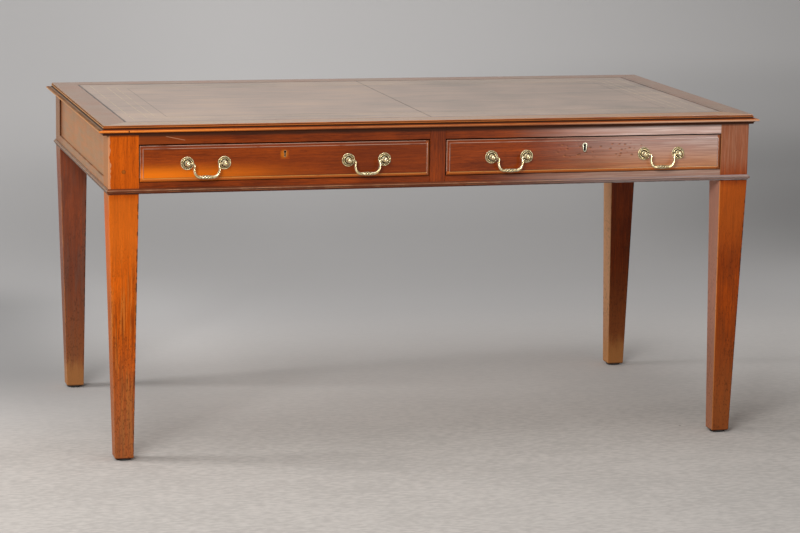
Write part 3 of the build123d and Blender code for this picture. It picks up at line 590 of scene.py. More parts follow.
def moulded_edge(board, left):
    """Tones of the moulded edge: painted shade with some dirt in its hollows, worn beads, beads in
    painted light, bright at the left and pale with sheen at the right, and the left end in painted
    sheen.
    """
    finish, x = board.finish, board.finish.x
    depth = edge_depth(finish)
    ragged = finish.noise(60, 3, shift=(9, 2, 5)).rise(0.3, 0.6)
    board.worn(depth.band(EDGE_ARRIS, 0.7, 0.5) * ragged, 0.5)
    right = x.rise(-620, -150)
    far = x.rise(180, 560)
    bead = depth.band(EDGE_ROUND, 1.9, 0.6)
    upper_bead = depth.band(EDGE_BEAD, 0.9, 0.6)
    # Painted sheen and the lines of the side light on the left end's profile
    if left:
        board.shade(depth.rise(0.5, 2) * 0.8, board.wood.side_sheen)
        board.shade(upper_bead, "tan bead", 0.6)
        board.grime_and_shade(depth.band(10.6, 0.7, 0.5) * (ragged * 0.5 + 0.5), 0.8)
        board.shade(depth.band(9, 0.7, 0.4), "grey line", 0.6)
        board.shade(depth.band(13.6, 0.9, 0.5), "orange line", 0.7)
    else:
        # Painted light along the front: shaded in the middle, a bright bead at the left, a pale
        # bead with sheen at the right
        board.shade(depth.rise(2, 3) * right, "dull edge", 0.35)
        board.shade(upper_bead, "warm bead", 0.5)
        board.shade(bead * (1 - right), "bright bead", 0.85)
        board.shade(bead * right * (1 - far), "brown bead", 0.5)
        board.shade(bead * far, "pale bead", 0.85)
    board.worn(depth.band(EDGE_STEP, 0.6, 0.6) * ragged, 0.4)
    # Painted shade, with some dirt, in the quirk, the hollow and under the foot
    hollows = depth.band(EDGE_QUIRK, 0.5, 0.4).most(depth.band(EDGE_HOLLOW, 1.5, 0.7))
    board.grime_and_shade(hollows.most(depth.rise(EDGE_FOOT, EDGE_FOOT + 1.4)), 0.88)
    nick = x.band(-709, 1.1, 0.7) * depth.band(12, 3.4, 0.5) * finish.facing("Y", -1)
    board.grime_and_shade(nick, 0.9)
    board.dent(nick, 1)


AROUND = {"front": "X", "back": "X", "left": "Y", "right": "Y"}
BORDER_TONES = {"front": 0.55, "back": 0.5, "left": 0.52, "right": 0.5}


def mahogany_top(wood):
    """The border of the top: pale with painted sheen on its flat, darkened beside the leather by
    painted shade with some dirt, dirty at its mitres.
    """
    hide_x, hide_y = HIDE_HIGH.x, HIDE_HIGH.y
    for seed, (name, tone) in enumerate(BORDER_TONES.items()):
        label = f"Mahogany border {name}"
        board = Board(label, AROUND[name], 11 + seed, wood, tone, polish=0.7)
        finish, x, y = board.finish, board.finish.x, board.finish.y
        # Painted sheen: the flat drawn paler and greyer, in rubbed patches
        rubbed = finish.noise(90, 4, shift=(2, 8, 1)).rise(0.3, 0.75)
        flat = edge_depth(finish).rise(0.6, 0.1)
        tint = "border"
        if name == "front":
            tint = finish.mix(x.rise(-100, 650), "front border, left", "front border, right")
        board.shade(flat * (rubbed * 0.2 + 0.75), tint)
        # Painted shade, with some dirt, along the step down to the leather
        beside = (abs(x) - hide_x).most(abs(y) - hide_y)
        ragged = finish.noise(24, 3) * 1.6
        line = finish.noise(50, 4, shift=(3, 7, 7)).rise(0.3, 0.6) * 0.6 + 0.3
        reach = 2.4 if name == "right" else 0
        board.grime_and_shade((beside + ragged).rise(3.4 + reach, 1.2 + reach) * flat * line, 1)
        if name == "right":
            board.grime_and_shade(beside.band(11, 0.7, 0.8) * flat * line, 0.6)
        across = abs(abs(x) - hide_x - abs(y) + hide_y)
        board.grime_and_shade(across.rise(0.9, 0.3) * flat * beside.rise(2, 4), 0.5)
        moulded_edge(board, name == "left")
        board.coat = flat * 0.6 + 0.1
        dress(board.done(), f"top_border_{name}")


# Boards of the frieze: the way their grain runs, and their tone

FRIEZE_BOARDS = {
    "top_rail_left": ("X", 0.33), "top_rail_right": ("X", 0.33),
    "lower_rail_left": ("X", 0.34), "lower_rail_right": ("X", 0.32),
    "drawer_divider": ("Z", 0.33), "end_rail_left": ("Y", 0.56),
    "end_rail_right": ("Y", 0.5), "back_rail": ("X", 0.5),
}


def end_panel_sheen(board):
    """The left end in painted sheen from the lamp at the left, streaked and greyed, dark at the
    back, dusty at its foot.
    """
    finish = board.finish
    # Painted sheen over the whole panel
    board.shade(finish.noise(70, 3) * 0.6 + 0.3, board.wood.side_sheen)
    streaks = finish.noise(9, 5, (1, 9, 1), (2, 5, 9)).rise(0.4, 0.62)
    board.shade(streaks * 0.4, "end streak")
    greyed = finish.noise(22, 5, (1, 5, 1), (7, 7, 7)).rise(0.48, 0.64)
    board.shade(greyed * 0.3, "greyed end")
    board.shade(finish.y.rise(270, 345) * 0.5, "dark end")
    dusty = finish.noise(12, 4, (1, 4, 1), (8, 2, 2)).rise(0.42, 0.62)
    strip = finish.z.rise(FRIEZE_BOTTOM + 36, FRIEZE_BOTTOM + 26)
    board.shade(strip * (dusty * 0.25 + 0.2), "dusty strip")
    board.grime_and_shade(finish.facing("Z", 1) * (dusty * 0.5 + 0.2), 0.8)


def mahogany_frieze(wood):
    """Rails, divider and end panels, darkened under the top by painted shade and open a hair at
    their joints.
    """
    for seed, (name, (along, tone)) in enumerate(FRIEZE_BOARDS.items()):
        label = "Mahogany " + name.replace("_", " ")
        board = Board(label, along, 21 + seed, wood, tone, polish=0.05)
        finish = board.finish
        x, _, z = finish.axes
        if name == "end_rail_left":
            end_panel_sheen(board)
        elif name == "top_rail_right":
            board.shade(x.rise(80, 330) * 0.3, "ruddy rail")
            painted_sheen_right(board, "silvered rail", start=150)
        elif name == "lower_rail_right":
            painted_sheen_right(board, "dull silver", start=60)
        elif name == "top_rail_left":
            # Painted light: the rail warmer and brighter at its left end
            board.shade(x.rise(-480, -680) * 0.5, "warm rail")
            scratch = abs(z + x * 0.212 - 606.7).rise(0.9, 0.3)
            board.shade(scratch * x.band(-604, 20, 3), "scratch", 0.8)
        # Painted shade under the overhang of the top
        board.grime_and_shade(z.rise(FRIEZE_TOP - 7, FRIEZE_TOP - 1), 0.75)
        if name.startswith(("top", "lower")):
            low, high = mm_box(name)
            joints = (x - low.x).least(high.x - x).rise(1.6, 0.3)
            board.shade(joints, "open joint", 0.6)
            # Dark lines along the rails' top and bottom edges: painted shade at the gaps, with
            # some dirt
            lips = (z - low.z).least(high.z - z).rise(1.4, 0.3)
            board.grime_and_shade(lips * finish.noise(20, 3, (3, 1, 1)).rise(0.35, 0.6), 0.6)
        dress(board.done(), name)


def mahogany_beads(wood):
    """The bead round the foot of the frieze, with painted highlights and wear on its rounds,
    painted shade with some dirt in its quirks, and painted sheen at the left and towards the
    right.
    """
    for seed, (name, along) in enumerate(AROUND.items()):
        board = Board(f"Mahogany bead {name}", along, 31 + seed, wood, 0.36, polish=0.3)
        finish = board.finish
        ragged = finish.noise(26, 4, shift=(5, 1, 7)).rise(0.4, 0.6)
        rise = finish.z - FRIEZE_BOTTOM
        board.shade(rise.rise(0, 10) * 0.2 + 0.4, "dark frieze bead")
        # Painted highlights, with wear, along the bead's top and fillet
        board.shade(rise.band(8.2, 0.7, 0.6) * (ragged * 0.5 + 0.4), "bead top")
        board.shade(rise.band(4.6, 0.6, 0.8) * ragged, "bead fillet", 0.6)
        if name == "front":
            painted_sheen_right(board, "silvered bead", start=60, share=0.75)
        elif name == "left":
            # Painted sheen from the side light on the left end
            board.shade(ragged * 0.4 + 0.3, "dusty bead")
        # Painted shade, with some dirt, in the quirks
        quirks = rise.rise(3.4, 1.4).most(rise.band(6.4, 0.7, 0.5))
        board.grime_and_shade(quirks * (ragged * 0.4 + 0.6), 0.8)
        dress(board.done(), f"frieze_bead_{name}")


MOULDING = 8.6


def mahogany_drawers(wood):
    """Drawer fronts: the left one with a painted warm glow and painted shade, the right one with
    painted sheen and pits, both with painted highlights and shade on a worn moulding.
    """
    for seed, side in enumerate(SIDES):
        low, high = mm_box(f"{side}_drawer_front")
        tone, polish = (0.42, 0.05) if side == "left" else (0.36, 0.06)
        label = f"Mahogany drawer front {side}"
        board = Board(label, "X", 41 + seed, wood, tone, polish=polish)
        finish, inset = board.finish, front_inset(board.finish, side)
        x, _, z = finish.axes
        if side == "left":
            # Painted reflection: a warm glow low at the left, then painted shade towards the right
            glow = (x - low.x).rise(460, 0) * (z - low.z).rise(46, 14)
            board.shade(glow, "drawer glow", 0.95)
            board.shade((x - low.x).rise(60, 600) * 0.4 + 0.05, "drawer dusk")
        else:
            # Painted sheen, pale and grey towards the right end
            painted_sheen_right(board, "silk, low", "silk, high")
            # Pits: dark dents, each with a painted highlight on a rim set off to one side
            zone = x.band(388, 96, 18) * z.band(689, 13, 6)
            rims, pits = (
                finish.spots(10, 3.6, 0.75, shift, (1.2, 1, 0.7)) * zone
                for shift in ((3, 3, 3), (2.86, 3, 2.8))
            )
            board.shade(rims, "pit rim", 0.6)
            board.grime_and_shade(pits, 0.4)
            board.dent(pits, 0.5)
        ragged = finish.noise(22, 4, (2, 1, 2), (3, 9, 1)).rise(0.2, 0.5)
        foot, far_end = ((z - low.z).rise(9.5, 7.5), (high.x - x).rise(9.5, 7.5))
        sunny = foot.most(far_end)
        lip = inset.band(0.9, 0.5, 0.4)
        fillet = inset.band(6.9, 0.5, 0.4)
        # Painted light in the moulding: a lit cove along the foot, a shaded cove at the right end,
        # highlights on lip and fillet
        board.shade(inset.band(4, 2.6, 0.6) * sunny, "sunny cove", 0.75)
        board.shade(inset.band(5, 4.4, 0.4) * far_end, "brown cove", 0.8)
        board.shade(lip.most(fillet) * ragged * (1 - sunny), "pale lip", 0.6)
        board.shade(fillet * foot * ragged, "gold fillet", 0.75)
        # Painted shade in the moulding's quirks and in the gap round the front
        board.grime_and_shade(inset.band(8.1, 0.3, 0.5).most(inset.band(2, 0.2, 0.5)), 0.55)
        board.grime_and_shade(inset.rise(0.5, 0.1), 0.8)
        board.coat = inset.rise(MOULDING, MOULDING - 1) * 0.5 + polish
        # Painted shade on the keyhole's walls
        hole = finish.off(*lock_place(side)).rise(14, 12)
        board.grime_and_shade(hole * finish.y.rise(low.y + 1.2, low.y + 2.2), 1)
        dress(board.done(), f"{side}_drawer_front")


def lock_place(side):
    """Where the middle of a keyhole stands, across and up."""
    surround = "left_keyhole_patch" if side == "left" else "right_escutcheon"
    low, high = mm_box(surround)
    middle = (low + high) / 2
    return middle.x, middle.z


def keyhole_patch(wood):
    """A block let in round the keyhole, golden where hands have rubbed it."""
    patch = Board("Mahogany keyhole patch", "X", 47, wood, 0.44)
    low, high = mm_box("left_keyhole_patch")
    finish = patch.finish
    x, z = lock_place("left")
    inset = (finish.x - low.x).least(high.x - finish.x).least(
        (finish.z - low.z).least(high.z - finish.z)
    )
    glow = finish.off(x - 2, z + 1).rise(13, 4)
    patch.shade(glow, "patch glow", 0.85)
    patch.grime_and_shade(inset.rise(0.7, 0.2), 0.4)
    # Painted shade on the keyhole's walls behind the patch's face
    patch.grime_and_shade(finish.y.rise(low.y + 0.2, low.y + 0.8), 1)
    dress(patch.done(), "left_keyhole_patch")


def oak(name, along, seed, colour):
    """Bare oak, open in its pores and dusty."""
    finish = Finish(name)
    stretch = lengthwise(along, 18)
    shift = (seed * 2.9, seed * 4.1, seed * 6.7)
    broad = finish.noise(14, 3, stretch, shift)
    streaks = finish.noise(2.4, 4, stretch, shift)
    pores = finish.noise(0.9, 2, stretch, shift).rise(0.55, 0.68)
    dust = finish.noise(120, 4, shift=shift).rise(0.35, 0.75)
    dark = tuple(value * 0.62 for value in colour)
    light = tuple(min(1, value * 1.25) for value in colour)
    figure = broad * 0.6 + streaks * 0.4
    tint = finish.ramp(figure, (0.32, dark), (0.5, colour), (0.7, light))
    tint = finish.mix(pores * 0.55, tint, tuple(value * 0.35 for value in colour))
    tint = finish.mix(dust * 0.35, tint, tuple(value * 0.5 for value in colour))
    return finish.surface(
        Base_Color=tint,
        Roughness=0.72 + dust * 0.14,
        Normal=finish.bump(streaks * 0.12 - pores * 0.14),
    )


def oak_linings(wood):
    lining = wood.lining
    carcase = wood.carcase
    for side in SIDES:
        across = oak(f"Oak lining across {side}", "X", 51, lining)
        along = oak(f"Oak lining along {side}", "Y", 53, lining)
        dress(across, f"{side}_drawer_back", f"{side}_drawer_bottom")
        dress(along, f"{side}_drawer_slips", *(f"{side}_drawer_side_{end}" for end in ENDS))
    runners = oak("Oak runners", "Y", 57, carcase)
    dress(runners, "runner_left", "runner_centre", "runner_right", "kickers")
    blocks = oak("Oak blocks", "X", 59, carcase)
    dress(blocks, "drawer_stops", "top_buttons", "top_ground")


# Meshes


def build(name, shell, material, body, replaced=(), smooth=True):
    """A mesh piece from a shell, which stands for the nodes it replaces."""
    mesh = bpy.data.meshes.new(name)
    mesh.from_pydata([Vector(p) * MM for p in shell.points], [], shell.faces)
    mesh.validate()
    if smooth:
        mesh.shade_smooth()
    if shell.marks:
        hollow = mesh.attributes.new("hollow", "FLOAT", "POINT")
        hollow.data.foreach_set("value", shell.marks)
    mesh.materials.append(material)
    piece = bpy.data.objects.new(name, mesh)
    bpy.context.scene.collection.objects.link(piece)
    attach(piece, body)
    if replaced:
        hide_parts(*replaced)


class Shell:
    """Points in millimetres and faces for one mesh, with a depth mark for each point."""

    def __init__(self):
        self.points = []
        self.faces = []
        self.marks = []

    def add_rings(self, rings, closed_start=True, closed_end=True):
        """Join rings of (point, mark) one after another, each ring closed on itself."""
        first = len(self.points)
        count = len(rings[0])
        for ring in rings:
            self.points += [point for point, _ in ring]
            self.marks += [mark for _, mark in ring]
        for row in range(len(rings) - 1):
            for step in range(count):
                a = first + row * count + step
                b = first + row * count + (step + 1) % count
                self.faces.append((a, b, b + count, a + count))
        if closed_start:
            self.faces.append(tuple(first + step for step in reversed(range(count))))
        if closed_end:
            last = first + (len(rings) - 1) * count
            self.faces.append(tuple(last + step for step in range(count)))

    def turn(self, profile, count, place, wobble=None, closed_end=True):
        """Turn (radius, height, mark) about an axis; place sets each point on the table."""
        rings = []
        for radius, height, mark in profile:
            ring = []
            for step in range(count):
                turn = 2 * math.pi * step / count
                lift, dip = wobble(radius, turn) if wobble else (0, 0)
                point = place(radius * math.cos(turn), radius * math.sin(turn), height + lift)
                ring.append((point, max(mark, dip)))
            rings.append(ring)
        self.add_rings(rings, closed_end=closed_end)


# Tooled leather


# The grid that the skins are laid out on, and the roll of their rims

GRID_STEP = 24
LEAST_GAP = 4
ROLL_WIDTH = 1.2
ROLL_DEPTH = 0.35


def pressed_places(low, high, insets, half, from_low=True, from_high=True):
    """Grid places from low to high, with extra ones at the rolled rims and tooled lines."""
    rims = (0, ROLL_DEPTH, ROLL_WIDTH)
    places = {low + rim for rim in rims} | {high - rim for rim in rims}
    for inset in insets:
        for shift in (-half - 0.3, -half, 0, half, half + 0.3):
            if from_low:
                places.add(low + inset + shift)
            if from_high:
                places.add(high - inset + shift)
    steps = round((high - low) / GRID_STEP)
    ordered = sorted(places)
    for step in range(1, steps):
        place = low + (high - low) * step / steps
        if min(abs(place - other) for other in ordered) > LEAST_GAP:
            places.add(place)
    return sorted(places)


def hide_skin(side, hide, material):
    """One skin of the top, with tooled lines pressed in and its edges rolled down."""
    low, high = mm_box(f"leather_{side}")
    gilt = [hide.outer_line / MM, hide.inner_line / MM, hide.third_line / MM]
    blind_end = hide.blind_end / MM
    blind_side = hide.blind_side / MM
    half = hide.line_width / MM / 2
    at_left = side == "left"
    xs = pressed_places(low.x, high.x, gilt + [blind_end], half, at_left, not at_left)
    ys = pressed_places(low.y, high.y, gilt + [blind_side], half)

    def press(x, y):
        """Depth of the skin's face below its highest plane."""
        inset_x = HIDE_HIGH.x - abs(x)
        inset_y = HIDE_HIGH.y - abs(y)
        inset = min(inset_x, inset_y)
        tool = half - 0.01
        sunk = any(abs(inset - line) <= tool for line in gilt)
        over_end = abs(inset_x - blind_end) <= tool and inset_y >= blind_side - half
        over_side = abs(inset_y - blind_side) <= tool and inset_x >= blind_end - half
        rim = min(inset, abs(x) - min(abs(low.x), abs(high.x)))
        roll = ROLL_DEPTH * max(0, 1 - rim / ROLL_WIDTH) ** 2
        return (hide.line_depth / MM if sunk or over_end or over_side else 0) + roll

    shell = Shell()
    shell.points = [(x, y, high.z - press(x, y)) for x in xs for y in ys]
    shell.points += [(x, y, low.z) for x in xs for y in ys]
    columns = len(ys)
    under = len(xs) * columns
    for i in range(len(xs) - 1):
        for j in range(columns - 1):
            a = i * columns + j
            shell.faces.append((a, a + columns, a + columns + 1, a + 1))
            b = under + a
            shell.faces.append((b, b + 1, b + columns + 1, b + columns))
    rim = [i * columns for i in range(len(xs))]
    rim += [(len(xs) - 1) * columns + j for j in range(1, columns)]
    rim += [i * columns + columns - 1 for i in reversed(range(len(xs) - 1))]
    rim += [j for j in reversed(range(1, columns - 1))]
    for here, there in zip(rim, rim[1:] + rim[:1]):
        shell.faces.append((there, here, here + under, there + under))
    name = f"leather_{side}"
    build(f"Leather_{side}", shell, material, "table_frame", [name], smooth=False)


def tooled_hide(hide):
    """Waxed hide, rubbed and streaked along the table, with worn gilt in its lines."""
    finish = Finish("Tooled leather")
    inset_x = HIDE_HIGH.x - abs(finish.x)
    inset_y = HIDE_HIGH.y - abs(finish.y)
    inset = inset_x.least(inset_y)
    streaks = finish.noise(14, 4, (9, 1, 1), (3, 1, 2))
    fine = finish.noise(3, 4, (12, 1, 1), (1, 6, 2))
    cloud = finish.noise(210, 3, (1.6, 1, 1), (5, 2, 3))
    patches = finish.noise(60, 4, (2.5, 1, 1), (1, 9, 4))
    figure = streaks * 0.3 + fine * 0.18 + cloud * 0.28 + patches * 0.24
    right = finish.x.rise(-60, 260)
    hide_tone = finish.ramp(
        figure - right * 0.05, (0.34, hide.stained), (0.5, hide.hide), (0.66, hide.rubbed)
    )
    # Painted shade, with dirt, along the step up to the border
    edge_shade_and_dirt = (inset + finish.noise(30, 3) * 3).rise(6, 3.4) * (1 - right * 0.2)
    seam_dirt = abs(finish.x).rise(1.6, 0.4)
    tone = finish.mix(edge_shade_and_dirt.most(seam_dirt) * 0.9, hide_tone, "hide dirt")
    half = hide.line_width / MM / 2
    outer, inner, third = (
        inset.band(line / MM, half, 0.25)
        for line in (hide.outer_line, hide.inner_line, hide.third_line)
    )
    lines = outer.most(inner).most(third)
    kept = finish.noise(18, 5, shift=(8, 8, 3)).rise(0.28, 0.5)
    gilding = lines * kept
    tone = finish.mix(lines * (1 - kept) * 0.5, tone, hide.stained)
    tone = finish.mix(gilding * 0.8, tone, hide.gilt)
    blind_end, blind_side = hide.blind_end / MM, hide.blind_side / MM
    end = inset_x.band(blind_end, half, 0.3) * inset_y.rise(blind_side - 1, blind_side)
    side = inset_y.band(blind_side, half, 0.3) * inset_x.rise(blind_end - 1, blind_end)
    tone = finish.mix(end.most(side) * 0.6, tone, "blind line")
    grain = finish.node(
        "ShaderNodeTexVoronoi", None, {"Vector": finish.place, "Scale": 0.9}, "Distance"
    )
    cockle = finish.noise(70, 2, (2, 1, 1), (2, 2, 9))
    scuffs = finish.noise(5, 5, (5, 1, 1), (7, 1, 1)).rise(0.55, 0.7)
    return finish.surface(
        Base_Color=tone,
        Roughness=0.46 + streaks * 0.12 - gilding * 0.1 + scuffs * 0.08,
        Metallic=gilding * 0.5,
        Normal=finish.bump(cockle * 0.5 + grain * 0.05 - scuffs * 0.03),
        Coat_Weight=0.5,
        Coat_Roughness=0.3,
    )


# Brass


def brass(name, settings, bright=1.0):
    """Aged brass: bright on the high places, tarnished in the hollows, with painted shade
    underneath and on faces to the right.
    """
    finish = Finish(name)
    hollow = finish.node("ShaderNodeAttribute", {"attribute_name": "hollow"}, None, "Fac")
    cloud = finish.noise(4, 4, shift=(2, 3, 4))
    spots = finish.noise(1.1, 3, shift=(6, 1, 4))
    # Painted shade on faces looking down and to the right
    under = finish.facing("Z", -1) * 0.45 + finish.facing("X", 1) * 0.2
    tarnish_and_shade = (hollow + under + spots.rise(0.55, 0.75) * 0.2).least(1)
    gold = cloud.rise(0.35, 0.65) * 0.5 + finish.facing("Y", -1) * 0.3
    high = tuple(value * bright for value in settings.brass)
    warm = tuple(value * bright for value in settings.gold)
    tone = finish.mix(tarnish_and_shade, finish.mix(gold, high, warm), settings.tarnish)
    return finish.surface(
        Base_Color=tone,
        Metallic=0.88 - tarnish_and_shade * 0.5,
        Roughness=0.17 + tarnish_and_shade * 0.36 + cloud * 0.08,
        Normal=finish.bump(cloud * 0.06 + spots * 0.03),
    )


# Rosettes: (radius, height off the drawer front, depth in the tarnish) from the rim inwards

ROSETTE_PROFILE = (
    (15, 0, 0.9), (15, 0.7, 0.5), (14.8, 1.1, 0.1), (14.3, 1.4, 0), (13.7, 1.5, 0),
    (13.0, 1.4, 0), (12.5, 1.0, 0.5), (12.2, 0.6, 1), (11.7, 0.55, 1), (11.4, 0.9, 0.8),
    (11.1, 1.7, 0.2), (10.6, 2.4, 0), (10.0, 2.6, 0), (9.4, 2.4, 0), (8.9, 1.8, 0.4),
    (8.6, 1.0, 1), (8.0, 0.8, 1), (7.4, 0.8, 1), (6.9, 1.1, 1), (6.6, 2.2, 0.8),
    (6.3, 2.9, 0.3), (5.8, 3.3, 0.1), (5.2, 3.7, 0.3), (4.6, 4.3, 0.6),
    (3.95, 4.4, 1),
)
LOBED_RADIUS = 13.6


def handle_places(side):
    """Places of a drawer's four posts, and the field they stand on."""
    low, high = mm_box(f"{side}_handle_rosettes")
    radius = ROSETTE_PROFILE[0][0]
    first, last = low.x + radius, high.x - radius
    bails = [mm_box(f"{side}_bail_{end}") for end in ENDS]
    middles = sorted((a.x + b.x) / 2 for a, b in bails)
    half = middles[0] - first
    return [first, middles[0] + half, middles[1] - half, last], high.y, (low.z + high.z) / 2


def standing(x, field, height):
    """Places the points of a piece turned about a line straight out of the drawer front."""
    return lambda across, up, out: (x + across, field - out, height + up)


def rosettes(side, settings, material):
    """Turned plates with a beaded ring, one under each post."""
    places, field, height = handle_places(side)
    lobes = settings.lobes

    def beaded(radius, turn):
        share = max(0, 1 - abs(radius - LOBED_RADIUS) / 1.3)
        wave = math.cos(lobes * turn)
        return 0.32 * share * wave, 0.8 * share * max(0, -wave)

    shell = Shell()
    for x in places:
        place = standing(x, field, height)
        shell.turn(ROSETTE_PROFILE, lobes * 6, place, beaded, closed_end=False)
    nodes = [f"{side}_handle_rosettes"]
    build(f"Rosettes_{side}", shell, material, f"{side}_drawer", nodes)


# Posts: a turned neck, and a ball that stands off the drawer front, bored for a pin

BALL_RADIUS = 6.2
BALL_STAND_OFF = 13
BALL_STEPS = 22
SOCKET_RADIUS = 2.4
SOCKET_DEPTH = 4.4
POST_SIDES = 40
POST_PROFILE = (
    (3, -26, 0.6), (3, -0.2, 0.6), (3.8, 0, 0.9), (3.8, 4.6, 0.9), (4.3, 5.0, 0.3),
    (4.5, 5.4, 0), (4.3, 5.8, 0.3), (3.5, 6.3, 0.9), (3.1, 6.9, 1), (3.2, 7.8, 0.6),
    (4.0, 8.4, 0.3), (4.6, 8.9, 0.2),
)


def ball_profile():
    """A ball with a blind socket at its far end, from its near pole to the socket's floor."""
    profile = [(0.02, -BALL_RADIUS, 0)]
    stop = math.asin(SOCKET_RADIUS / BALL_RADIUS)
    for step in range(1, BALL_STEPS + 1):
        turn = (math.pi - stop) * step / BALL_STEPS
        profile.append((BALL_RADIUS * math.sin(turn), -BALL_RADIUS * math.cos(turn), 0))
    mouth = profile[-1][1]
    profile[-1] = (SOCKET_RADIUS, mouth, 0.9)
    profile.append((SOCKET_RADIUS, mouth - 0.4, 1))
    profile.append((SOCKET_RADIUS, BALL_RADIUS - SOCKET_DEPTH, 1))
    return profile


def posts(side, material):
    """Necks turned about their own axis, and balls bored for the pins of the bails."""
    places, field, height = handle_places(side)
    shell = Shell()
    for x, inward in zip(places, (1, -1, 1, -1)):
        shell.turn(POST_PROFILE, POST_SIDES, standing(x, field, height))

        def sideways(across, up, out, x=x, inward=inward):
            return x + inward * out, field - BALL_STAND_OFF - across, height + up * inward

        shell.turn(ball_profile(), POST_SIDES, sideways)
    build(f"Posts_{side}", shell, material, f"{side}_drawer", [f"{side}_handle_posts"])


# Bails: half of the middle line as (across, up, radius of the bend), from a pin to the grip

BAIL_CORNERS = ((39.8, 0, 0), (26.5, 0, 4.5), (29, -13, 14), (24.5, -30, 13.5))
BAIL_SIDES = 30
BAIL_STEP = 0.55
PIN_LENGTH = 4.3
PIN_RADIUS = 2.25
GRIP_END = 10.4
COLLAR = 11.4
COLLAR_END = 12.8


def rounded_line(corners, step):
    """Points along a line of (across, up, radius) corners, each corner rounded."""
    points = [corners[0][:2]]
    for before, here, after in zip(corners, corners[1:], corners[2:]):
        corner = Vector(here[:2])
        back = (Vector(before[:2]) - corner).normalized()
        ahead = (Vector(after[:2]) - corner).normalized()
        half_turn = back.angle(ahead) / 2
        reach = here[2] / math.tan(half_turn)
        middle = corner + (back + ahead).normalized() * here[2] / math.sin(half_turn)
        start = corner + back * reach - middle
        end = corner + ahead * reach - middle
        sweep = start.angle_signed(end)
        count = max(3, round(abs(sweep) * here[2] / step))
        for number in range(count + 1):
            turn = Matrix.Rotation(-sweep * number / count, 2)
            points.append(tuple(middle + turn @ start))
    points.append(corners[-1][:2])
    return points


def evenly(points, step):
    """The same line with its points at even distances."""
    vectors = [Vector(p) for p in points]
    lengths = [0]
    for a, b in zip(vectors, vectors[1:]):
        lengths.append(lengths[-1] + (b - a).length)
    count = round(lengths[-1] / step)
    even = []
    here = 0
    for number in range(count + 1):
        want = lengths[-1] * number / count
        while here < len(lengths) - 2 and lengths[here + 1] < want:
            here += 1
        span = lengths[here + 1] - lengths[here] or 1
        even.append((vectors[here].lerp(vectors[here + 1], (want - lengths[here]) / span), want))
    return even, lengths[-1]


def bulge(distance, middle, width):
    """A soft swelling of height 1 about a distance."""
    return math.exp(-(((distance - middle) / width) ** 2))


def bail_girth(along, drop, turn, ribs):
    """Radius of a bail and how deep in a hollow it is, at a distance from its middle."""
    along_grip = abs(along)
    if along_grip < GRIP_END:
        share = math.cos(along / GRIP_END * math.pi / 2)
        wave = math.cos(ribs * turn + 0.9 * along)
        radius = 3.3 + 0.6 * share ** 0.6 + 0.75 * wave * share ** 0.3
        return radius, min(1, max(0, 0.3 - 1.3 * wave)) * share ** 0.3
    neck = 2.2 + 1.2 * min(1, max(0, drop / 30)) ** 1.5
    dip = bulge(along_grip, COLLAR_END, 0.6) + bulge(along_grip, GRIP_END, 0.5)
    return neck + 0.7 * bulge(along_grip, COLLAR, 0.8), min(1, dip * 0.9)


def bail(side, end, settings, material):
    """A swan-neck bail: thin bent necks and a collared grip with twisted ribs."""
    node = f"{side}_bail_{end}"
    low, high = mm_box(node)
    middle = (low.x + high.x) / 2
    _, field, height = handle_places(side)
    mirrored = tuple((-x, z, radius) for x, z, radius in reversed(BAIL_CORNERS))
    line, length = evenly(rounded_line(BAIL_CORNERS + mirrored, 0.4), BAIL_STEP)
    rings = []
    for number, (point, distance) in enumerate(line):
        before = line[max(0, number - 1)][0]
        after = line[min(len(line) - 1, number + 1)][0]
        heading = (after - before).normalized()
        aside = Vector((-heading.y, heading.x))
        at_pin = min(distance, length - distance) < PIN_LENGTH
        ring = []
        for step in range(BAIL_SIDES):
            turn = 2 * math.pi * step / BAIL_SIDES
            radius, hollow = bail_girth(distance - length / 2, -point.y, turn, settings.ribs)
            if at_pin:
                radius, hollow = PIN_RADIUS, 0.6
            flat = point + aside * radius * math.cos(turn)
            out = field - BALL_STAND_OFF - radius * math.sin(turn)
            ring.append(((middle + flat.x, out, height + flat.y), hollow))
        rings.append(ring)
    shell = Shell()
    shell.add_rings(rings)
    build(f"Bail_{side}_{end}", shell, material, node, [node])


# Screws, glides and keyholes


def screw_steel():
    """Darkened steel with a little rust."""
    finish = Finish("Screw steel")
    cloud = finish.noise(6, 4)
    streaks = finish.noise(0.8, 3, (8, 1, 1))
    tone = finish.mix(cloud.rise(0.4, 0.7), "steel", "rust")
    return finish.surface(
        Base_Color=tone,
        Metallic=1 - cloud.rise(0.45, 0.75) * 0.4,
        Roughness=0.35 + cloud * 0.3,
        Normal=finish.bump(streaks * 0.03 + cloud * 0.05),
    )


def glide_plastic():
    """Black plastic, scuffed grey."""
    finish = Finish("Glide plastic")
    scuffs = finish.noise(4, 5)
    tone = finish.mix(scuffs.rise(0.5, 0.7) * 0.5, "glide", "glide scuff")
    return finish.surface(
        Base_Color=tone, Roughness=0.55 + scuffs * 0.2, Normal=finish.bump(scuffs * 0.08)
    )


# The left keyhole and how far its round hole stands above the lock's middle

KEYHOLE_RADIUS = 2.6
KEYHOLE_SLOT = 1.3
KEYHOLE_DROP = 11
KEYHOLE_RISE = 5.9


def keyhole_outline(grow):
    """A keyhole's outline about its round hole: the round above and the slot below."""
    wide = KEYHOLE_SLOT + grow
    drop = KEYHOLE_DROP + grow
    round_radius = KEYHOLE_RADIUS + grow
    meet = math.asin(min(1, wide / round_radius))
    outline = []
    for step in range(25):
        turn = meet + (2 * math.pi - 2 * meet) * step / 24 - math.pi / 2
        outline.append((round_radius * math.cos(turn), round_radius * math.sin(turn)))
    return outline + [(-wide, -drop), (wide, -drop)]


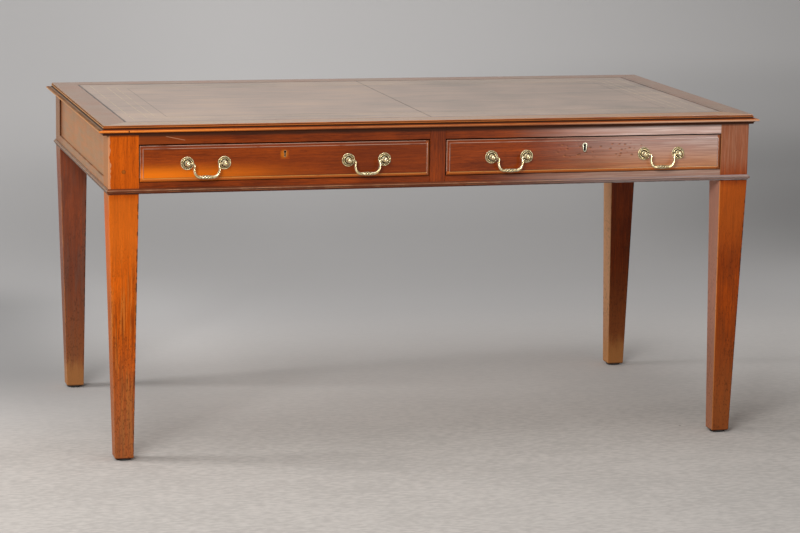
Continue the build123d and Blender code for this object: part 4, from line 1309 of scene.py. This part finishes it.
def keyhole_liner(material):
    """A thin brass liner let into the wooden patch of the left keyhole."""
    front = mm_box("left_keyhole_patch")[0].y
    x, z = lock_place("left")
    rings = [
        [((x + across, front + depth, z + KEYHOLE_RISE + up), 0.5) for across, up in outline]
        for outline, depth in zip(
            map(keyhole_outline, (0.6, 0.6, 0.05, 0.05)), (0.6, -0.12, -0.12, 1.8)
        )
    ]
    shell = Shell()
    shell.add_rings(rings, closed_start=False, closed_end=False)
    build("Keyhole_liner", shell, material, "left_drawer", smooth=False)


# The escutcheon's plate: half its width, how far its foot is below its middle, its taper

PLATE_HALF = 5.2
PLATE_DROP = 6.4
PLATE_TAPER = 0.17


def escutcheon_brass(settings):
    """A plate domed to its rim, with a keyhole drawn on it as painted shade, darker at its rim and
    in specks of dirt.
    """
    finish = Finish("Escutcheon brass")
    x, z = lock_place("right")
    across = abs(finish.x - x)
    up = finish.z - z
    beyond = up - up.least(PLATE_HALF).most(-PLATE_DROP)
    reach = finish.math("SQRT", across * across + beyond * beyond)
    rim = PLATE_HALF + up * PLATE_TAPER - reach
    # Painted shade: a dark keyhole shape on the plate, darker at its rim, with specks of dirt
    painted_keyhole = across.rise(3.2, 2.2) * abs(up).rise(8.4, 7)
    dirt = painted_keyhole.most(rim.rise(0.5, 0)).most(finish.noise(3, 3).rise(0.55, 0.75) * 0.4)
    tone = finish.mix(dirt, tuple(value * 0.8 for value in settings.brass), "keyhole dirt")
    dome = (rim - 1.7) * (rim - 1.7)
    return finish.surface(
        Base_Color=tone,
        Metallic=0.7 - dirt * 0.6,
        Roughness=0.34 + dirt * 0.3,
        Normal=finish.bump(dome * -0.16),
    )


# The studio

CAMERA_PLACE = (-1.7102, -6.5146, 1.5744)
CAMERA_RIGHT = Vector((0.96686157, -0.25479706, 0.01603637))
CAMERA_DOWN = Vector((-0.03022672, -0.17661852, -0.98381515))
CAMERA_AHEAD = Vector((0.25350553, 0.95072833, -0.17846734))
CAMERA_LENS = 126.48


def camera():
    """The camera, placed and turned as fitted to the table's corners, edges and feet."""
    data = bpy.data.cameras.new("Camera")
    data.lens = CAMERA_LENS
    data.sensor_width = 36
    data.clip_end = 60
    view = bpy.data.objects.new("Camera", data)
    turn = Matrix((CAMERA_RIGHT, -CAMERA_DOWN, -CAMERA_AHEAD)).transposed()
    view.matrix_world = Matrix.Translation(CAMERA_PLACE) @ turn.to_4x4()
    bpy.context.scene.collection.objects.link(view)
    bpy.context.scene.camera = view


def floor_finish(studio):
    """Pale paint, cloudy and specked, with painted shade at the left, in front and up the
    backdrop, and a painted pool of light behind the table.
    """
    finish = Finish("Studio floor")
    x, y, z = finish.axes
    cloud = finish.noise(260, 4, (1.6, 1, 1))
    blots = finish.noise(60, 4, (1.5, 1, 1), (4, 4, 4))
    fine = finish.noise(10, 5, (2.2, 1, 1), (1, 7, 2))
    spread = (cloud * 0.22 + blots * 0.2 + fine * 0.58).rise(0.38, 0.62)
    tone = finish.mix(spread, tuple(value * 0.82 for value in studio.floor), studio.floor)
    tone = finish.mix(finish.spots(150, 4, 0.35) * 0.7, tone, "floor speck")
    tone = finish.mix(y.rise(-500, 1500), tone, studio.backdrop)
    # Painted light: a paler band on the floor under and behind the table
    tone = finish.mix(y.band(450, 150, 650) * 0.4, tone, "floor light")
    # Painted shade on the floor at the left and in front at the right
    shade = tuple(value * 0.5 for value in studio.backdrop)
    left = x.rise(-280, -880) * y.rise(-300, 600) * y.rise(2050, 1400)
    near = x.rise(-300, 1100) * y.rise(-300, -1300)
    tone = finish.mix((left * 0.9).most(near * 0.2), tone, shade)
    # Painted shade on the backdrop: at its sides, low down, and in bands where the table's shadow
    # falls
    aside = abs(x - 300).rise(600, 3000) * 0.45 + x.rise(400, -600) * 0.36
    aside = aside + z.rise(420, 60) * (x.rise(1200, 2100) * 0.3 + 0.24)
    aside = aside + z.band(110, 60, 130) * x.rise(-900, 200) * 0.25
    aside = aside + z.band(340, 60, 150) * x.rise(700, 2000) * 0.24
    tone = finish.mix(aside * y.rise(1000, 2450), tone, shade)
    behind = finish.node("ShaderNodeNewGeometry", output="Backfacing")
    return finish.surface(
        Base_Color=tone,
        Roughness=0.7 + cloud * 0.2,
        Specular_IOR_Level=0.0,
        Normal=finish.bump(blots * 0.4),
        Alpha=1 - behind,
    )


def studio_floor(studio):
    """A floor that runs back and sweeps up into the backdrop."""
    half_width, front, back, radius, height, steps = 9, -9, 1.9, 1.6, 6, 24
    line = [(front, 0), (-3, 0), (0, 0), (back, 0)]
    for step in range(1, steps + 1):
        turn = math.pi / 2 * step / steps
        line.append((back + radius * math.sin(turn), radius * (1 - math.cos(turn))))
    line.append((back + radius, height))
    points = []
    for y, z in line:
        points += [(-half_width, y, z), (half_width, y, z)]
    faces = [(2 * n, 2 * n + 1, 2 * n + 3, 2 * n + 2) for n in range(len(line) - 1)]
    mesh = bpy.data.meshes.new("Studio_floor")
    mesh.from_pydata(points, [], faces)
    mesh.shade_smooth()
    mesh.materials.append(floor_finish(studio))
    sweep = bpy.data.objects.new("Studio_floor", mesh)
    bpy.context.scene.collection.objects.link(sweep)


def lamp(name, place, aim, width, height, power, paint=True, gleam=True):
    """A soft lamp aimed at a place, which may light the paint or only show as a gleam."""
    data = bpy.data.lights.new(name, "AREA")
    data.shape = "RECTANGLE"
    data.size = width
    data.size_y = height
    data.energy = power
    light = bpy.data.objects.new(name, data)
    light.location = place
    light.rotation_mode = "QUATERNION"
    light.rotation_quaternion = (Vector(aim) - Vector(place)).to_track_quat("-Z", "Y")
    light.visible_camera = False
    light.visible_diffuse = paint
    light.visible_glossy = gleam
    bpy.context.scene.collection.objects.link(light)


def lamps(studio):
    """Soft lamps at the left, in front, low down and overhead, and an even surround."""
    lamp("Side", (-4.4, 0.4, 2.1), (-0.2, 0, 0.4), 1.3, 0.8, studio.side, gleam=False)
    lamp("Front", (-2.6, -4.4, 3.0), (-0.1, -0.3, 0.5), 2.2, 1.6, studio.front)
    lamp("Low", (2.7, -4.6, 0.35), (0.6, -0.4, 0.6), 1.4, 0.6, studio.low, paint=False)
    lamp("Top", (-0.4, -0.8, 3.9), (-0.1, 0, 0.4), 3.0, 2.0, studio.top)
    world = bpy.data.worlds.new("Studio surround")
    world.use_nodes = True
    sky = world.node_tree.nodes["Background"]
    sky.inputs["Color"].default_value = (1, 0.99, 0.98, 1)
    sky.inputs["Strength"].default_value = studio.surround
    bpy.context.scene.world = world
    bpy.context.scene.view_settings.view_transform = "Standard"


# Operators


class TABLE_OT_wood(bpy.types.Operator):
    """Finish the mahogany and oak boards"""

    bl_idname = "writing_table.wood"
    bl_label = "Finish the wood"

    def execute(self, context):
        wood = context.scene.table_wood
        mahogany_legs(wood)
        mahogany_top(wood)
        mahogany_frieze(wood)
        mahogany_beads(wood)
        mahogany_drawers(wood)
        keyhole_patch(wood)
        oak_linings(wood)
        ease(0.7, *(f"leg_{name}" for name in LEG_TONES))
        ease(0.4, *FRIEZE_BOARDS)
        return {"FINISHED"}


class TABLE_OT_leather(bpy.types.Operator):
    """Lay the two tooled skins of the top"""

    bl_idname = "writing_table.leather"
    bl_label = "Lay the leather"

    def execute(self, context):
        hide = context.scene.table_hide
        material = tooled_hide(hide)
        for side in SIDES:
            hide_skin(side, hide, material)
        return {"FINISHED"}


class TABLE_OT_handles(bpy.types.Operator):
    """Cast the handles: rosettes, posts and bails"""

    bl_idname = "writing_table.handles"
    bl_label = "Cast the handles"

    def execute(self, context):
        settings = context.scene.table_brass
        for side in SIDES:
            material = brass(f"Handle brass {side}", settings)
            rosettes(side, settings, material)
            posts(side, material)
            for end in ENDS:
                bail(side, end, settings, material)
            dress(brass(f"Nut brass {side}", settings), f"{side}_handle_nuts")
        return {"FINISHED"}


class TABLE_OT_ironwork(bpy.types.Operator):
    """Fit the locks, keyholes, screws and glides"""

    bl_idname = "writing_table.ironwork"
    bl_label = "Fit the locks and screws"

    def execute(self, context):
        settings = context.scene.table_brass
        # Painted shade: the lock brass darkened to 0.3, as it lies in shade behind the keyholes
        lock = brass("Lock brass in painted shade", settings, 0.3)
        for side in SIDES:
            dress(lock, f"{side}_lock_case", f"{side}_lock_bolt")
        dress(escutcheon_brass(settings), "right_escutcheon")
        keyhole_liner(brass("Keyhole liner brass", settings))
        dress(screw_steel(), "top_screws")
        dress(glide_plastic(), "leg_glides")
        return {"FINISHED"}


class TABLE_OT_studio(bpy.types.Operator):
    """Set the floor, backdrop, lamps and camera"""

    bl_idname = "writing_table.studio"
    bl_label = "Set the studio"

    def execute(self, context):
        studio = context.scene.table_studio
        studio_floor(studio)
        lamps(studio)
        camera()
        return {"FINISHED"}


class TABLE_PT_panel(bpy.types.Panel):
    bl_label = "Writing table"
    bl_space_type = "VIEW_3D"
    bl_region_type = "UI"
    bl_category = "Writing table"

    def draw(self, context):
        for operator in OPERATORS:
            self.layout.operator(operator.bl_idname)


SETTINGS = {
    "table_wood": WoodSettings,
    "table_hide": HideSettings,
    "table_brass": BrassSettings,
    "table_studio": StudioSettings,
}
OPERATORS = (
    TABLE_OT_wood,
    TABLE_OT_leather,
    TABLE_OT_handles,
    TABLE_OT_ironwork,
    TABLE_OT_studio,
)


def register():
    for name, settings in SETTINGS.items():
        bpy.utils.register_class(settings)
        setattr(bpy.types.Scene, name, PointerProperty(type=settings))
    for operator in OPERATORS:
        bpy.utils.register_class(operator)
    bpy.utils.register_class(TABLE_PT_panel)


def unregister():
    bpy.utils.unregister_class(TABLE_PT_panel)
    for operator in reversed(OPERATORS):
        bpy.utils.unregister_class(operator)
    for name, settings in SETTINGS.items():
        delattr(bpy.types.Scene, name)
        bpy.utils.unregister_class(settings)


def main():
    register()
    bpy.ops.writing_table.wood()
    bpy.ops.writing_table.leather()
    bpy.ops.writing_table.handles()
    bpy.ops.writing_table.ironwork()
    bpy.ops.writing_table.studio()


if __name__ == "__main__":
    main()
